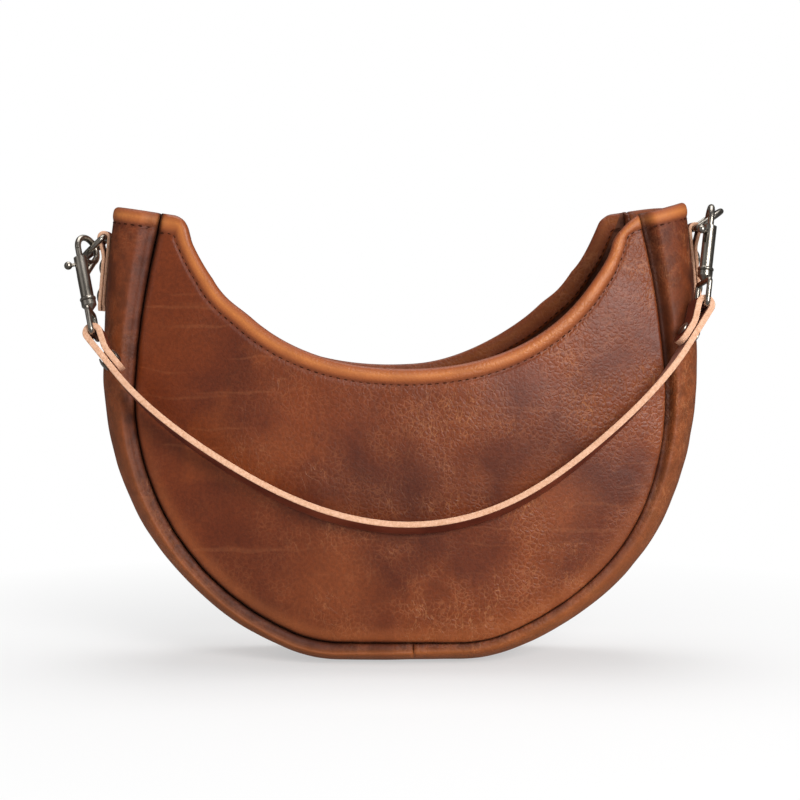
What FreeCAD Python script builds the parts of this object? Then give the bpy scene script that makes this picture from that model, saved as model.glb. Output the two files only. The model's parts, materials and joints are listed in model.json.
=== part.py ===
import FreeCAD, Part
import math
import os
from FreeCAD import Placement, Rotation, Vector

# Half moon shoulder bag of full-grain leather, in millimetres.
# The origin is the middle of the flat base. X runs to the bag's right as seen
# from the front, Y runs from the front to the back, and Z points up.

doc = FreeCAD.newDocument("half_moon_bag")
sheet = doc.addObject("Spreadsheet::Sheet", "sizes")

SIZES = [
    ("bag_width", 306, "outside width at the widest level"),
    ("base_drop", 6, "how far the flat base cuts off the round outline"),
    ("base_corner", 75, "radius from the flat base into the round outline"),
    ("horn_rise", 87, "horn top above the widest level"),
    ("horn_draw", 6.6, "how far each horn leans in at its top"),
    ("leather", 2, "thickness of the body leather"),
    ("roll_base", 12, "width of the gusset roll at the base, seen from the front"),
    ("roll_tip", 25.5, "width of the gusset roll at the horn"),
    ("crest_base", 42, "flat width along the gusset's crest at the base"),
    ("crest_tip", 15, "flat width along the gusset's crest at the horn"),
    ("belly_depth", 75.6, "front to back over the fullest part of the panels"),
    ("belly_radius", 918, "radius of the panels' bulge"),
    ("belly_height", 106, "height of the fullest part of the panels"),
    ("seam_turn", 3, "outer radius where leather turns into the seam"),
    ("seam_allowance", 7, "width of the leather turned inside along the seam"),
    ("seam_gap", 0.25, "room between the two leathers of a seam"),
    ("base_seam", 7, "from the middle to the seam that joins the two gusset halves"),
    ("hem_width", 9, "width of the turned hem"),
    ("tip_width", 12.5, "short top edge of a panel between seam and mouth"),
    ("mouth_drop", 77, "depth of the mouth below the panel tips"),
    ("mouth_sag", 5, "how far the rim sags below a circle between the tips and the middle"),
    ("tab_width", 12, "width of the ring tabs"),
    ("tab_leather", 2, "thickness of the tab leather"),
    ("tab_length", 38, "tab below the ring bar"),
    ("tab_merge", 9, "where the two layers of a tab meet, below the bar"),
    ("tab_gap", 0.25, "room between tab and gusset"),
    ("tab_rivet_first", 15, "first tab rivet below the bar"),
    ("tab_rivet_end", 8, "second tab rivet above the tab's end"),
    ("bar_drop_left", 16.3, "left ring bar below the horn top"),
    ("bar_drop_right", 11.8, "right ring bar below the horn top"),
    ("ring_wire", 3, "wire of the D-rings"),
    ("ring_inner", 14.5, "inner width of the D-rings"),
    ("ring_leg", 7.9, "straight legs of the D-rings"),
    ("ring_corner", 2, "bend from a ring's bar into its legs"),
    ("ring_fit", 0.08, "radial room between ring bar and tab"),
    ("ring_dip_left", 43.4, "angle of the left ring below the level"),
    ("ring_lift_right", 33.6, "angle of the right ring above the level"),
    ("rivet_cap", 7.5, "diameter of the rivet caps"),
    ("rivet_rim", 0.5, "height of a rivet cap's rim"),
    ("rivet_dome", 1, "height of a rivet cap's dome above its rim"),
    ("rivet_post", 3, "diameter of the rivet posts"),
    ("rivet_fit", 0.05, "radial room round a rivet post"),
    ("rivet_slack", 0.6, "room under a tab rivet's inner cap for the curved gusset"),
    ("barrel_width", 6.6, "diameter of the snap barrel"),
    ("barrel_length", 24, "length of the snap barrel"),
    ("barrel_floor", 2.4, "closed end of the barrel round the swivel post"),
    ("collar_width", 8.2, "diameter over the rounded collar of the barrel"),
    ("collar_bead", 1.1, "radius of the rounded collar"),
    ("hook_wire", 3.2, "wire of the snap hook"),
    ("hook_radius", 6.9, "radius of the hook to the middle of its wire"),
    ("hook_start", 115, "angle round the hook's middle where its wire leaves the barrel"),
    ("hook_bury", 1.2, "how far the hook's wire starts below the barrel's end"),
    ("strut_root", 9.5, "where the hook's strut leaves the barrel, below its end"),
    ("strut_angle", 28, "angle below level where the strut meets the hook"),
    ("bolt_width", 3.2, "diameter of the sliding bolt"),
    ("bolt_fit", 0.08, "radial room round the bolt"),
    ("bolt_length", 14.5, "length of the sliding bolt"),
    ("bolt_travel", 5, "travel of the bolt"),
    ("tip_gap", 0.3, "room between bolt and hook tip when closed"),
    ("knob_drop", 3.6, "thumb knob below the barrel's end when closed"),
    ("knob_angle", 135, "thumb knob round the barrel from the hook's side"),
    ("knob_reach", 6.6, "middle of the thumb knob from the barrel's axis"),
    ("knob_width", 4.2, "diameter of the thumb knob"),
    ("stem_width", 1.8, "diameter of the knob's stem"),
    ("slot_fit", 0.12, "room round the stem in its slot"),
    ("spring_wire", 0.45, "wire of the bolt spring"),
    ("spring_turns", 5, "turns of the bolt spring"),
    ("spring_fit", 0.2, "room between spring and bore"),
    ("end_fit", 0.15, "room at each end of spring and swivel post"),
    ("post_width", 2.2, "diameter of the swivel post"),
    ("post_fit", 0.06, "radial room round the swivel post"),
    ("head_width", 3.1, "diameter of the swivel post's head"),
    ("head_height", 1.2, "height of the swivel post's head"),
    ("shoulder_width", 7.6, "diameter of the swivel shoulder"),
    ("shoulder_height", 2.4, "straight part of the swivel shoulder"),
    ("shoulder_taper", 3, "tapered part of the swivel shoulder"),
    ("eye_wire", 2.8, "wire of the strap eye"),
    ("eye_inner", 13.8, "inner width of the strap eye"),
    ("eye_drop", 18.6, "middle of the eye's lower bar below the barrel"),
    ("eye_corner", 1.7, "corner radius of the strap eye"),
    ("snap_side_left", 13.2, "lean of the left snap towards the bag, going down"),
    ("snap_side_right", 8.1, "lean of the right snap towards the bag, going down"),
    ("eye_room_left", 7.2125, "left strap eye in front of the gusset beside it"),
    ("eye_room_right", 4.193, "right strap eye in front of the gusset beside it"),
    ("hook_turn_left", 60, "direction of the left hook's side, from X towards Y"),
    ("hook_turn_right", 88, "direction of the right hook's side, from X towards Y"),
    ("hold_left", 7.1, "where the left ring hangs in its hook, degrees round the D"),
    ("hold_right", 7.9, "where the right ring hangs in its hook, from the bar"),
    ("hold_side_left", 2.47, "left ring's wire beside the middle of its hook"),
    ("hold_side_right", 1.47, "right ring's wire beside the middle of its hook"),
    ("hold_height_left", 0.98, "left ring's wire above the middle of its hook"),
    ("hold_height_right", 0.74, "right ring's wire above the middle of its hook"),
    ("strap_width", 13, "width of the strap"),
    ("strap_leather", 3.6, "thickness of the strap"),
    ("strap_low", 75, "height of the strap's lowest point"),
    ("strap_low_side", 7, "strap's lowest point to the right of the middle"),
    ("strap_front", 1.5, "room between the strap's back edge and the panel"),
    ("strap_tip", 24, "how far the strap's front edge is tipped up"),
    ("strap_fold", 26, "straight end of the strap beyond an eye"),
    ("strap_end", 23, "short end of the strap beyond an eye"),
    ("strap_merge", 10, "where the two layers of a strap end meet"),
    ("strap_rivet", 15.2, "strap rivet beyond an eye"),
    ("fold_fit", 0.3, "room between an eye's bar and the strap"),
]

for row, (alias, value, note) in enumerate(SIZES, start=1):
    sheet.set("A%d" % row, alias)
    sheet.set("B%d" % row, str(value))
    sheet.set("C%d" % row, note)
    sheet.setAlias("B%d" % row, alias)
doc.recompute()


def size(alias):
    return float(sheet.get(alias))


def bound(kind, name, **expressions):
    """A document object whose properties follow the sheet."""
    made = doc.addObject(kind, name)
    for prop, expression in expressions.items():
        made.setExpression(prop, expression)
    return made


def plain(name, shape):
    """A document object that holds a worked-out shape."""
    made = doc.addObject("Part::Feature", name)
    made.Shape = shape
    return made


def frame(origin, x_axis, z_axis):
    """The placement that puts local X and Z along the given directions."""
    z_axis = Vector(z_axis).normalize()
    y_axis = z_axis.cross(x_axis).normalize()
    return Placement(origin, Rotation(y_axis.cross(z_axis), y_axis, z_axis, "ZXY"))


def joined(name, pieces):
    made = doc.addObject("Part::MultiFuse", name)
    made.Shapes = pieces
    return made


def cut(name, base, tool):
    made = doc.addObject("Part::Cut", name)
    made.Base = base
    made.Tool = tool
    return made


NODES = []


def node(piece, label, placement=None):
    """Give a finished piece its own name and place."""
    piece.Label = label
    if placement is not None:
        piece.Placement = placement
    NODES.append(piece)
    return piece


# Crest of the gusset: flat base, corner arc, round outline, then the horn's arc.
HALF_WIDTH = size("bag_width") / 2
WIDEST = HALF_WIDTH - size("base_drop")
CORNER = size("base_corner")
BASE_HALF = math.sqrt(2 * size("base_drop") * (HALF_WIDTH - size("base_drop") / 2 - CORNER))
CORNER_TURN = math.asin(BASE_HALF / (HALF_WIDTH - CORNER))
HORN_RADIUS = (size("horn_rise") ** 2 + size("horn_draw") ** 2) / (2 * size("horn_draw"))
HORN_TURN = math.asin(size("horn_rise") / HORN_RADIUS)
CORNER_LENGTH = CORNER * CORNER_TURN
ROUND_LENGTH = HALF_WIDTH * (math.pi / 2 - CORNER_TURN)
HORN_LENGTH = HORN_RADIUS * HORN_TURN
CREST_LENGTH = CORNER_LENGTH + ROUND_LENGTH + HORN_LENGTH
QUARTER = math.pi / 2


class Station:
    """A place along the right gusset's crest, a given run beyond the flat base."""

    def __init__(self, run):
        if run <= CORNER_LENGTH:
            turn = run / CORNER
            x = BASE_HALF + CORNER * math.sin(turn)
            z = CORNER - CORNER * math.cos(turn)
        elif run <= CORNER_LENGTH + ROUND_LENGTH:
            turn = CORNER_TURN + (run - CORNER_LENGTH) / HALF_WIDTH
            x = HALF_WIDTH * math.sin(turn)
            z = WIDEST - HALF_WIDTH * math.cos(turn)
        else:
            turn = QUARTER + (run - CORNER_LENGTH - ROUND_LENGTH) / HORN_RADIUS
            x = HALF_WIDTH - HORN_RADIUS * (1 - math.sin(turn))
            z = WIDEST - HORN_RADIUS * math.cos(turn)
        share = run / CREST_LENGTH
        self.crest = Vector(x, 0, z)
        self.out = Vector(math.sin(turn), 0, -math.cos(turn))
        self.along = Vector(math.cos(turn), 0, math.sin(turn))
        self.roll = size("roll_base") + (size("roll_tip") - size("roll_base")) * share ** 2
        self.flat = (size("crest_base") + (size("crest_tip") - size("crest_base")) * share) / 2
        self.depth = panel_depth(self.inside(self.roll))

    def inside(self, inset):
        return self.crest - self.out * inset

    def at(self, outward, depth):
        return self.crest + self.out * outward + Vector(0, depth, 0)


def panel_depth(point):
    """Distance of a panel's outer face from the middle plane."""
    rise = point.z - size("belly_height")
    sag = size("belly_radius") - math.sqrt(size("belly_radius") ** 2 - point.x ** 2 - rise ** 2)
    return size("belly_depth") / 2 - sag


CORNER_STEPS = 3
ROUND_STEPS = 6
HORN_STEPS = 3


def crest_stations():
    runs = [CORNER_LENGTH * i / CORNER_STEPS for i in range(CORNER_STEPS)]
    runs += [CORNER_LENGTH + ROUND_LENGTH * i / ROUND_STEPS for i in range(ROUND_STEPS)]
    horn_start = CORNER_LENGTH + ROUND_LENGTH
    runs += [horn_start + HORN_LENGTH * i / HORN_STEPS for i in range(HORN_STEPS + 1)]
    return [Station(run) for run in runs]


STATIONS = crest_stations()
HORN_TOP = STATIONS[-1]


def mirrored(shape):
    return shape.mirror(Vector(0, 0, 0), Vector(1, 0, 0))


def quarter_oval(station, centre, out_reach, depth_reach, start, end):
    """Part of an oval in a station's plane, from one angle to another.

    At angle 0 it points to the front or back, and at a quarter turn outwards."""
    def point(angle):
        return station.at(centre[0] + out_reach * math.sin(angle), centre[1] + depth_reach * math.cos(angle))
    across, deep = abs(out_reach), abs(depth_reach)
    middle = station.at(*centre)
    to_out = station.out
    to_deep = Vector(0, math.copysign(1, depth_reach), 0)
    if deep >= across:
        oval = Part.Ellipse(middle + to_deep * deep, middle + to_out * across, middle)
    else:
        oval = Part.Ellipse(middle + to_out * across, middle + to_deep * deep, middle)
    first = oval.parameter(point(start))
    last = oval.parameter(point(end))
    if abs(last - first) > math.pi:
        last += math.copysign(2 * math.pi, first - last)
    return oval.toShape(min(first, last), max(first, last))


def gusset_wire(station):
    """Closed section of the gusset: an arch with both edges turned into the seams."""
    wall, turn = size("leather"), size("seam_turn")
    roll, flat, depth = station.roll, station.flat, station.depth
    lip = depth - turn - size("seam_allowance")
    edges = []
    for inner in (0, wall):
        sides = []
        for side in (-1, 1):
            bend = (turn - roll, side * (depth - turn))
            oval = quarter_oval(station, (turn - roll, side * flat), roll - turn - inner,
                                side * (depth - flat - inner), QUARTER, 0)
            middle = math.sqrt(0.5) * (turn - inner)
            corner = Part.Arc(
                station.at(turn - roll, side * (depth - inner)),
                station.at(bend[0] - middle, bend[1] + side * middle),
                station.at(inner - roll, side * (depth - turn)),
            ).toShape()
            edge = Part.makeLine(station.at(inner - roll, side * (depth - turn)),
                                 station.at(inner - roll, side * lip))
            sides.append([oval, corner, edge])
        crown = Part.makeLine(station.at(-inner, -flat), station.at(-inner, flat))
        edges.append(sides[0][::-1] + [crown] + sides[1])
    ends = [Part.makeLine(station.at(-roll, side * lip), station.at(wall - roll, side * lip))
            for side in (-1, 1)]
    ordered = edges[0] + [ends[1]] + edges[1][::-1] + [ends[0]]
    return Part.Wire(Part.__sortEdges__(ordered))


def hem_wire(station):
    """Section of the layer that is turned down inside a horn's top."""
    wall = size("leather")
    edges = []
    for inner in (wall / 2, 2 * wall):
        for side in (-1, 1):
            edges.append(quarter_oval(
                station, (size("seam_turn") - station.roll, side * station.flat),
                station.roll - size("seam_turn") - inner,
                side * (station.depth - station.flat - inner), QUARTER, 0))
        edges.append(Part.makeLine(station.at(-inner, -station.flat), station.at(-inner, station.flat)))
    for side in (-1, 1):
        level = size("seam_turn") - station.roll
        edges.append(Part.makeLine(station.at(level, side * (station.depth - wall / 2)),
                                   station.at(level, side * (station.depth - 2 * wall))))
    return Part.Wire(Part.__sortEdges__(edges))


def gusset_shape(seam):
    """Gusset half of the right side, from the seam at the base to the horn."""
    base = Part.Face(gusset_wire(STATIONS[0]))
    floor = base.extrude(Vector(seam + size("seam_gap") / 2 - BASE_HALF, 0, 0))
    arch = Part.makeLoft([gusset_wire(station) for station in STATIONS], True, False)
    hem_runs = [CREST_LENGTH - size("hem_width") * i / 2 for i in (2, 1, 0)]
    hem = Part.makeLoft([hem_wire(Station(run)) for run in hem_runs], True, False)
    return floor.fuse([arch, hem]).removeSplitter()


# Panels: a bulged crescent with the seam allowance turned in and a hemmed mouth.
PANEL_TIP = HORN_TOP.inside(size("roll_tip") + size("seam_gap"))
MOUTH_CORNER = HORN_TOP.inside(size("roll_tip") + size("seam_gap") + size("tip_width"))
MOUTH_LOW = MOUTH_CORNER.z - size("mouth_drop")
MOUTH_RADIUS = (MOUTH_CORNER.x ** 2 + size("mouth_drop") ** 2) / (2 * size("mouth_drop"))
MOUTH_CENTRE = Vector(0, 0, MOUTH_LOW + MOUTH_RADIUS)


def flipped(point):
    return Vector(-point.x, point.y, point.z)


def swing(point):
    """Angle of a point round the mouth's centre, from straight down towards X."""
    return math.atan2(point.x - MOUTH_CENTRE.x, MOUTH_CENTRE.z - point.z)


def panel_wire(seam):
    """Closed section of the front panel from the mouth's rim to a seam point."""
    wall, turn = size("leather"), size("seam_turn")
    rim_angle = swing(seam) * swing(MOUTH_CORNER) / swing(PANEL_TIP)
    rim = MOUTH_CENTRE + Vector(math.sin(rim_angle), 0, -math.cos(rim_angle)) * MOUTH_RADIUS
    share = abs(rim_angle) / swing(MOUTH_CORNER)
    rim.z -= size("mouth_sag") * 27 / 4 * share ** 2 * (1 - share)
    length = (seam - rim).Length
    course = (seam - rim) / length
    straight = length - turn
    hem = straight * size("hem_width") / (straight + size("hem_width"))
    lip = turn + size("seam_allowance")

    def at(run, inward):
        place = rim + course * run
        return place + Vector(0, inward - panel_depth(place), 0)

    def arc(first, second, third):
        return Part.Arc(at(*first), at(*second), at(*third)).toShape()

    def line(first, second):
        return Part.makeLine(at(*first), at(*second))

    soft = 1 - math.sqrt(0.5)
    inner_turn = turn - wall
    half = (straight + wall) / 2
    return Part.Wire([
        arc((wall, 0), (half, 0), (straight, 0)),
        arc((straight, 0), (length - turn * soft, turn * soft), (length, turn)),
        line((length, turn), (length, lip)),
        line((length, lip), (length - wall, lip)),
        line((length - wall, lip), (length - wall, turn)),
        arc((length - wall, turn), (length - wall - inner_turn * soft, wall + inner_turn * soft),
            (straight, wall)),
        arc((straight, wall), ((straight + hem) / 2, wall), (hem, wall)),
        line((hem, wall), (hem, 2 * wall)),
        arc((hem, 2 * wall), ((hem + wall) / 2, 2 * wall), (wall, 2 * wall)),
        arc((wall, 2 * wall), (wall * soft, 2 * wall - wall * soft), (0, wall)),
        arc((0, wall), (wall * soft, wall * soft), (wall, 0)),
    ])


def panel_shape():
    """The front panel, from the left tip round to the right tip."""
    right = [station.inside(station.roll + size("seam_gap")) for station in STATIONS]
    left = [flipped(point) for point in reversed(right)]
    middle = (left[-1] + right[0]) / 2
    return Part.makeLoft([panel_wire(seam) for seam in left + [middle] + right], True, False)


front_skin = panel_shape()
node(plain("front_skin", front_skin), "front_panel")
node(plain("back_skin", front_skin.mirror(Vector(0, 0, 0), Vector(0, 1, 0))), "back_panel")


# Folded leather: one shape serves the ring tabs and both ends of the strap.
def fold_face(bar, wall, merge, length, short):
    """Section of leather folded round a bar at the origin, running along X.

    The long layer lies below the bar and the short layer comes back over it."""
    lean = 2 * math.atan(merge / bar) - QUARTER
    outer = bar + wall
    far_side = (lean - 3 * QUARTER) / 2 - QUARTER / 2

    def polar(radius, angle):
        return Vector(radius * math.cos(angle), radius * math.sin(angle), 0)

    def chain(points):
        return [Part.makeLine(first, second) for first, second in zip(points, points[1:])]

    slope = Vector(math.sin(lean), -math.cos(lean), 0)
    run = (outer * math.sin(lean) + bar - wall) / math.cos(lean)
    outline = [Part.Arc(Vector(0, -outer, 0), polar(outer, far_side), polar(outer, lean)).toShape()]
    corners = [polar(outer, lean), polar(outer, lean) + slope * run, Vector(short, wall - bar, 0)]
    if length > short:
        corners += [Vector(short, -bar, 0), Vector(length, -bar, 0)]
    corners += [Vector(length, -outer, 0), Vector(0, -outer, 0)]
    opening = [Part.Arc(Vector(0, -bar, 0), polar(bar, far_side), polar(bar, lean)).toShape()]
    opening += chain([polar(bar, lean), Vector(merge, -bar, 0), Vector(0, -bar, 0)])
    return Part.Face(Part.Wire(outline + chain(corners))).cut(Part.Face(Part.Wire(opening))).Faces[0]


def folded(name, face, width):
    """Leather of a given width with the fold's section."""
    made = bound("Part::Extrusion", name, LengthFwd=width)
    made.Base = plain(name + "_section", face)
    made.DirMode = "Custom"
    made.Dir = Vector(0, 0, 1)
    made.Solid = True
    made.Symmetric = True
    return made


def rivet_hole(name, placement, length):
    hole = bound("Part::Cylinder", name, Radius="sizes.rivet_post / 2 + sizes.rivet_fit", Height=length)
    hole.Placement = placement
    return hole


def rivet_shape(grip, placement):
    """Capped rivet: outer cap above the origin, post and inner cap below it."""
    cap, rim, dome = size("rivet_cap") / 2, size("rivet_rim"), size("rivet_dome")
    post = size("rivet_post") / 2
    radius = (cap ** 2 + dome ** 2) / (2 * dome)
    half = math.asin(cap / radius) / 2
    side = radius * math.sin(half)
    lift = radius * math.cos(half) - radius

    def at(x, z):
        return Vector(x, 0, z)

    outline = [(cap, rim), (cap, 0), (post, 0), (post, -grip), (cap, -grip), (cap, -grip - rim)]
    edges = [Part.makeLine(at(*first), at(*second)) for first, second in zip(outline, outline[1:])]
    top, foot = rim + dome, -grip - rim - dome
    edges.append(Part.Arc(at(cap, -grip - rim), at(side, foot - lift), at(0, foot)).toShape())
    edges.append(Part.makeLine(at(0, foot), at(0, top)))
    edges.append(Part.Arc(at(0, top), at(side, top + lift), at(cap, rim)).toShape())
    solid = Part.Face(Part.Wire(edges)).revolve(Vector(0, 0, 0), Vector(0, 0, 1), 360)
    solid.Placement = placement
    return solid


# Horn hardware: the tab, its rivets and the D-ring, on one side and then the other.
FRONT = Vector(0, -1, 0)
BAR = size("ring_wire") / 2 + size("ring_fit")
RING_HALF = (size("ring_inner") + size("ring_wire")) / 2


def sided(vector, side):
    return Vector(side * vector.x, vector.y, vector.z)


def horn_frame(side, bar_drop):
    """Bar centre, down direction and outward direction of a tab."""
    middle = Station(CREST_LENGTH - bar_drop - size("tab_length") / 2)
    out = sided(middle.out, side)
    down = sided(middle.along, side) * -1
    seat = size("tab_gap") + size("tab_leather") + BAR
    bar = sided(middle.crest, side) - down * (size("tab_length") / 2) + out * seat
    return bar, down, out


def ring_shape():
    """Wire D-ring with its bar on Y and its bow towards X."""
    corner, leg = size("ring_corner"), size("ring_leg")
    soft = corner * (1 - math.sqrt(0.5))

    def at(x, y):
        return Vector(x, y, 0)

    half = RING_HALF
    bow = half * math.sqrt(0.5)
    right = [
        Part.makeLine(at(0, 0), at(0, half - corner)),
        Part.Arc(at(0, half - corner), at(soft, half - soft), at(corner, half)).toShape(),
        Part.makeLine(at(corner, half), at(leg, half)),
        Part.Arc(at(leg, half), at(leg + bow, bow), at(leg + half, 0)).toShape(),
    ]
    left = [edge.mirror(Vector(0, 0, 0), Vector(0, 1, 0)) for edge in reversed(right)]
    path = Part.Wire(right + left)
    section = Part.Wire(Part.makeCircle(size("ring_wire") / 2, at(0, 0), Vector(0, 1, 0)))
    return path.makePipeShell([section], True, False)


def horn_hardware(side, word, bar_drop, ring_angle):
    bar, down, out = horn_frame(side, bar_drop)
    wall = size("tab_leather")
    place = frame(bar, down, down.cross(out))
    leaf = folded("tab_leaf_" + word,
                  fold_face(BAR, wall, size("tab_merge"), size("tab_length"), size("tab_length")),
                  "sizes.tab_width")
    holes, gusset_holes, rivets = [], [], []
    grip = 2 * wall + size("tab_gap") + size("leather") + size("rivet_slack")
    for number, run in enumerate((size("tab_rivet_first"), size("tab_length") - size("tab_rivet_end"))):
        turn = Rotation(Vector(0, 0, 1), Vector(0, -1, 0))
        start = Vector(run, wall + BAR, 0)
        length = "4 * sizes.tab_leather + 4 * sizes.leather"
        name = "%s_%d" % (word, number)
        holes.append(rivet_hole("tab_hole_" + name, Placement(start, turn), length))
        gusset_holes.append(rivet_hole("gusset_hole_" + name, place.multiply(Placement(start, turn)), length))
        head = bar + down * run + out * (wall - BAR)
        rivets.append(rivet_shape(grip, frame(head, down, out)))
    node(cut("tab_punched_" + word, leaf, joined("tab_holes_" + word, holes)), "tab_" + word, place)
    strip = gusset_shape(side * size("base_seam"))
    strip = strip if side > 0 else mirrored(strip)
    node(cut("gusset_punched_" + word, plain("gusset_strip_" + word, strip),
             joined("gusset_holes_" + word, gusset_holes)), "gusset_" + word)
    node(plain("tab_rivet_pair_" + word, Part.makeCompound(rivets)), "tab_rivets_" + word)
    reach = Vector(side * math.cos(math.radians(ring_angle)), 0, math.sin(math.radians(ring_angle)))
    ring_place = frame(bar, reach, reach.cross(Vector(0, 1, 0)))
    node(plain("ring_" + word, ring_shape()), "d_ring_" + word, ring_place)
    return bar, reach


LEFT, RIGHT = -1, 1
bar_left, reach_left = horn_hardware(LEFT, "left", size("bar_drop_left"), -size("ring_dip_left"))
bar_right, reach_right = horn_hardware(RIGHT, "right", size("bar_drop_right"), size("ring_lift_right"))

# Where each ring's wire hangs in its hook.
bow_angle = math.radians(size("hold_left"))
hold_left = (bar_left + FRONT * (RING_HALF * math.cos(bow_angle))
             + reach_left * (size("ring_leg") + RING_HALF * math.sin(bow_angle)))
hold_right = bar_right + FRONT * RING_HALF + reach_right * size("hold_right")


# Bolt snaps. Locally Z runs up the barrel from its lower end and X points to the hook's side.
HOOK_START = math.radians(size("hook_start"))
HOOK_HEIGHT = (size("barrel_length") - size("hook_bury")
               + size("hook_radius") * math.sin(HOOK_START))
BOLT_FOOT = HOOK_HEIGHT - size("tip_gap") - size("bolt_length")
KNOB_HEIGHT = size("barrel_length") - size("knob_drop")
KNOB = Vector(math.cos(math.radians(size("knob_angle"))), math.sin(math.radians(size("knob_angle"))), 0)
HEAD_FOOT = size("barrel_floor") + size("end_fit")


def upright(kind, name, foot, **expressions):
    made = bound(kind, name, **expressions)
    made.Placement = Placement(Vector(0, 0, foot), Rotation())
    return made


def snap_body(word, place):
    """Barrel with its collar and hook, bored for the bolt and slotted for the knob."""
    barrel = bound("Part::Cylinder", "barrel_" + word,
                   Radius="sizes.barrel_width / 2", Height="sizes.barrel_length")
    collar = upright("Part::Torus", "collar_" + word, size("collar_bead"),
                     Radius1="sizes.collar_width / 2 - sizes.collar_bead", Radius2="sizes.collar_bead")
    hook = bound("Part::Torus", "hook_" + word, Radius1="sizes.hook_radius",
                 Radius2="sizes.hook_wire / 2", Angle3="180 + sizes.hook_start")
    middle = Vector(size("hook_radius"), 0, HOOK_HEIGHT)
    start = Vector(math.cos(HOOK_START), 0, -math.sin(HOOK_START))
    hook.Placement = frame(middle, start, FRONT)
    meet_angle = math.radians(size("strut_angle"))
    meet = middle + Vector(math.cos(meet_angle), 0, -math.sin(meet_angle)) * size("hook_radius")
    root = Vector((size("barrel_width") - size("hook_wire")) / 2, 0,
                  size("barrel_length") - size("strut_root"))
    strut = bound("Part::Cylinder", "strut_" + word, Radius="sizes.hook_wire / 2")
    strut.Height = (meet - root).Length
    strut.Placement = frame(root, FRONT, meet - root)
    knuckle = bound("Part::Sphere", "knuckle_" + word, Radius="sizes.hook_wire / 2")
    knuckle.Placement = Placement(meet, Rotation())
    whole = joined("snap_whole_" + word, [barrel, collar, hook, strut, knuckle])
    bore = upright("Part::Cylinder", "bore_" + word, size("barrel_floor"),
                   Radius="sizes.bolt_width / 2 + sizes.bolt_fit", Height="sizes.barrel_length")
    bore.Height = HOOK_HEIGHT - size("barrel_floor") - size("tip_gap")
    post_hole = upright("Part::Cylinder", "post_hole_" + word, -size("collar_bead"),
                        Radius="sizes.post_width / 2 + sizes.post_fit",
                        Height="sizes.barrel_floor + 2 * sizes.collar_bead")
    slot = bound("Part::Box", "slot_" + word, Length="sizes.barrel_width",
                 Width="sizes.stem_width + 2 * sizes.slot_fit",
                 Height="sizes.bolt_travel + sizes.stem_width + 2 * sizes.slot_fit")
    half_stem = size("stem_width") / 2 + size("slot_fit")
    side = Vector(0, 0, 1).cross(KNOB)
    slot.Placement = frame(side * -half_stem + Vector(0, 0, KNOB_HEIGHT - size("bolt_travel") - half_stem),
                           KNOB, Vector(0, 0, 1))
    tools = joined("snap_openings_" + word, [bore, post_hole, slot])
    node(cut("snap_bored_" + word, whole, tools), "snap_body_" + word, place)


def snap_bolt(word, place):
    """Sliding bolt with its thumb knob on a stem."""
    rod = upright("Part::Cylinder", "rod_" + word, BOLT_FOOT,
                  Radius="sizes.bolt_width / 2", Height="sizes.bolt_length")
    stem = bound("Part::Cylinder", "stem_" + word, Radius="sizes.stem_width / 2", Height="sizes.knob_reach")
    stem.Placement = frame(Vector(0, 0, KNOB_HEIGHT), Vector(0, 0, 1), KNOB)
    knob = bound("Part::Sphere", "knob_" + word, Radius="sizes.knob_width / 2")
    knob.Placement = Placement(KNOB * size("knob_reach") + Vector(0, 0, KNOB_HEIGHT), Rotation())
    node(joined("bolt_whole_" + word, [rod, stem, knob]), "snap_bolt_" + word, place)


def biarc(start, heading, end, arrival):
    """Two arcs from one point and direction to another."""
    chord = end - start
    a = 2 * (1 - heading.dot(arrival))
    b = 2 * chord.dot(heading + arrival)
    c = -chord.dot(chord)
    reach = (-b + math.sqrt(b * b - 4 * a * c)) / (2 * a) if a > 1e-9 else -c / b
    corners = [start + heading * reach, end - arrival * reach]
    joint = (corners[0] + corners[1]) / 2
    arcs = []
    for first, corner, last in ((start, corners[0], joint), (joint, corners[1], end)):
        middle = (first + last) / 2
        half = (last - first).Length / 2
        bow = half * math.tan(math.atan((corner - middle).Length / half) / 2)
        arcs.append(Part.Arc(first, middle + (corner - middle).normalize() * bow, last).toShape())
    return arcs


def least_gap(arcs, wire):
    """Least room between a coil's turns, from points along its middle line."""
    line = [point for arc in arcs for point in arc.discretize(13)[:-1]]
    half_turn = 4 * 12
    apart = [(line[i] - line[j]).Length
             for i in range(len(line)) for j in range(i + half_turn, len(line))]
    return min(apart) - wire


def snap_spring(word, place):
    """Coil spring between the swivel post's head and the bolt."""
    wire = size("spring_wire")
    radius = size("bolt_width") / 2 + size("bolt_fit") - size("spring_fit") - wire / 2
    foot = HEAD_FOOT + size("head_height") + size("end_fit") + wire / 2
    top = BOLT_FOOT - size("end_fit") - wire / 2
    turns = size("spring_turns")
    pitch = (top - foot) / turns

    def at(angle):
        return Vector(radius * math.cos(angle), radius * math.sin(angle), foot + pitch * angle / (2 * math.pi))

    def heading(angle):
        rise = pitch / (2 * math.pi)
        return Vector(-radius * math.sin(angle), radius * math.cos(angle), rise).normalize()

    angles = [math.pi / 2 * i for i in range(int(4 * turns) + 1)]
    arcs = []
    for first, last in zip(angles, angles[1:]):
        arcs += biarc(at(first), heading(first), at(last), heading(last))
    section = Part.Wire(Part.makeCircle(wire / 2, at(0), heading(0)))
    coil = Part.Wire(arcs).makePipeShell([section], True, False)
    print("least gap of the spring to itself", word, round(least_gap(arcs, wire), 3))
    node(plain("coil_" + word, coil), "snap_spring_" + word, place)


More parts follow.
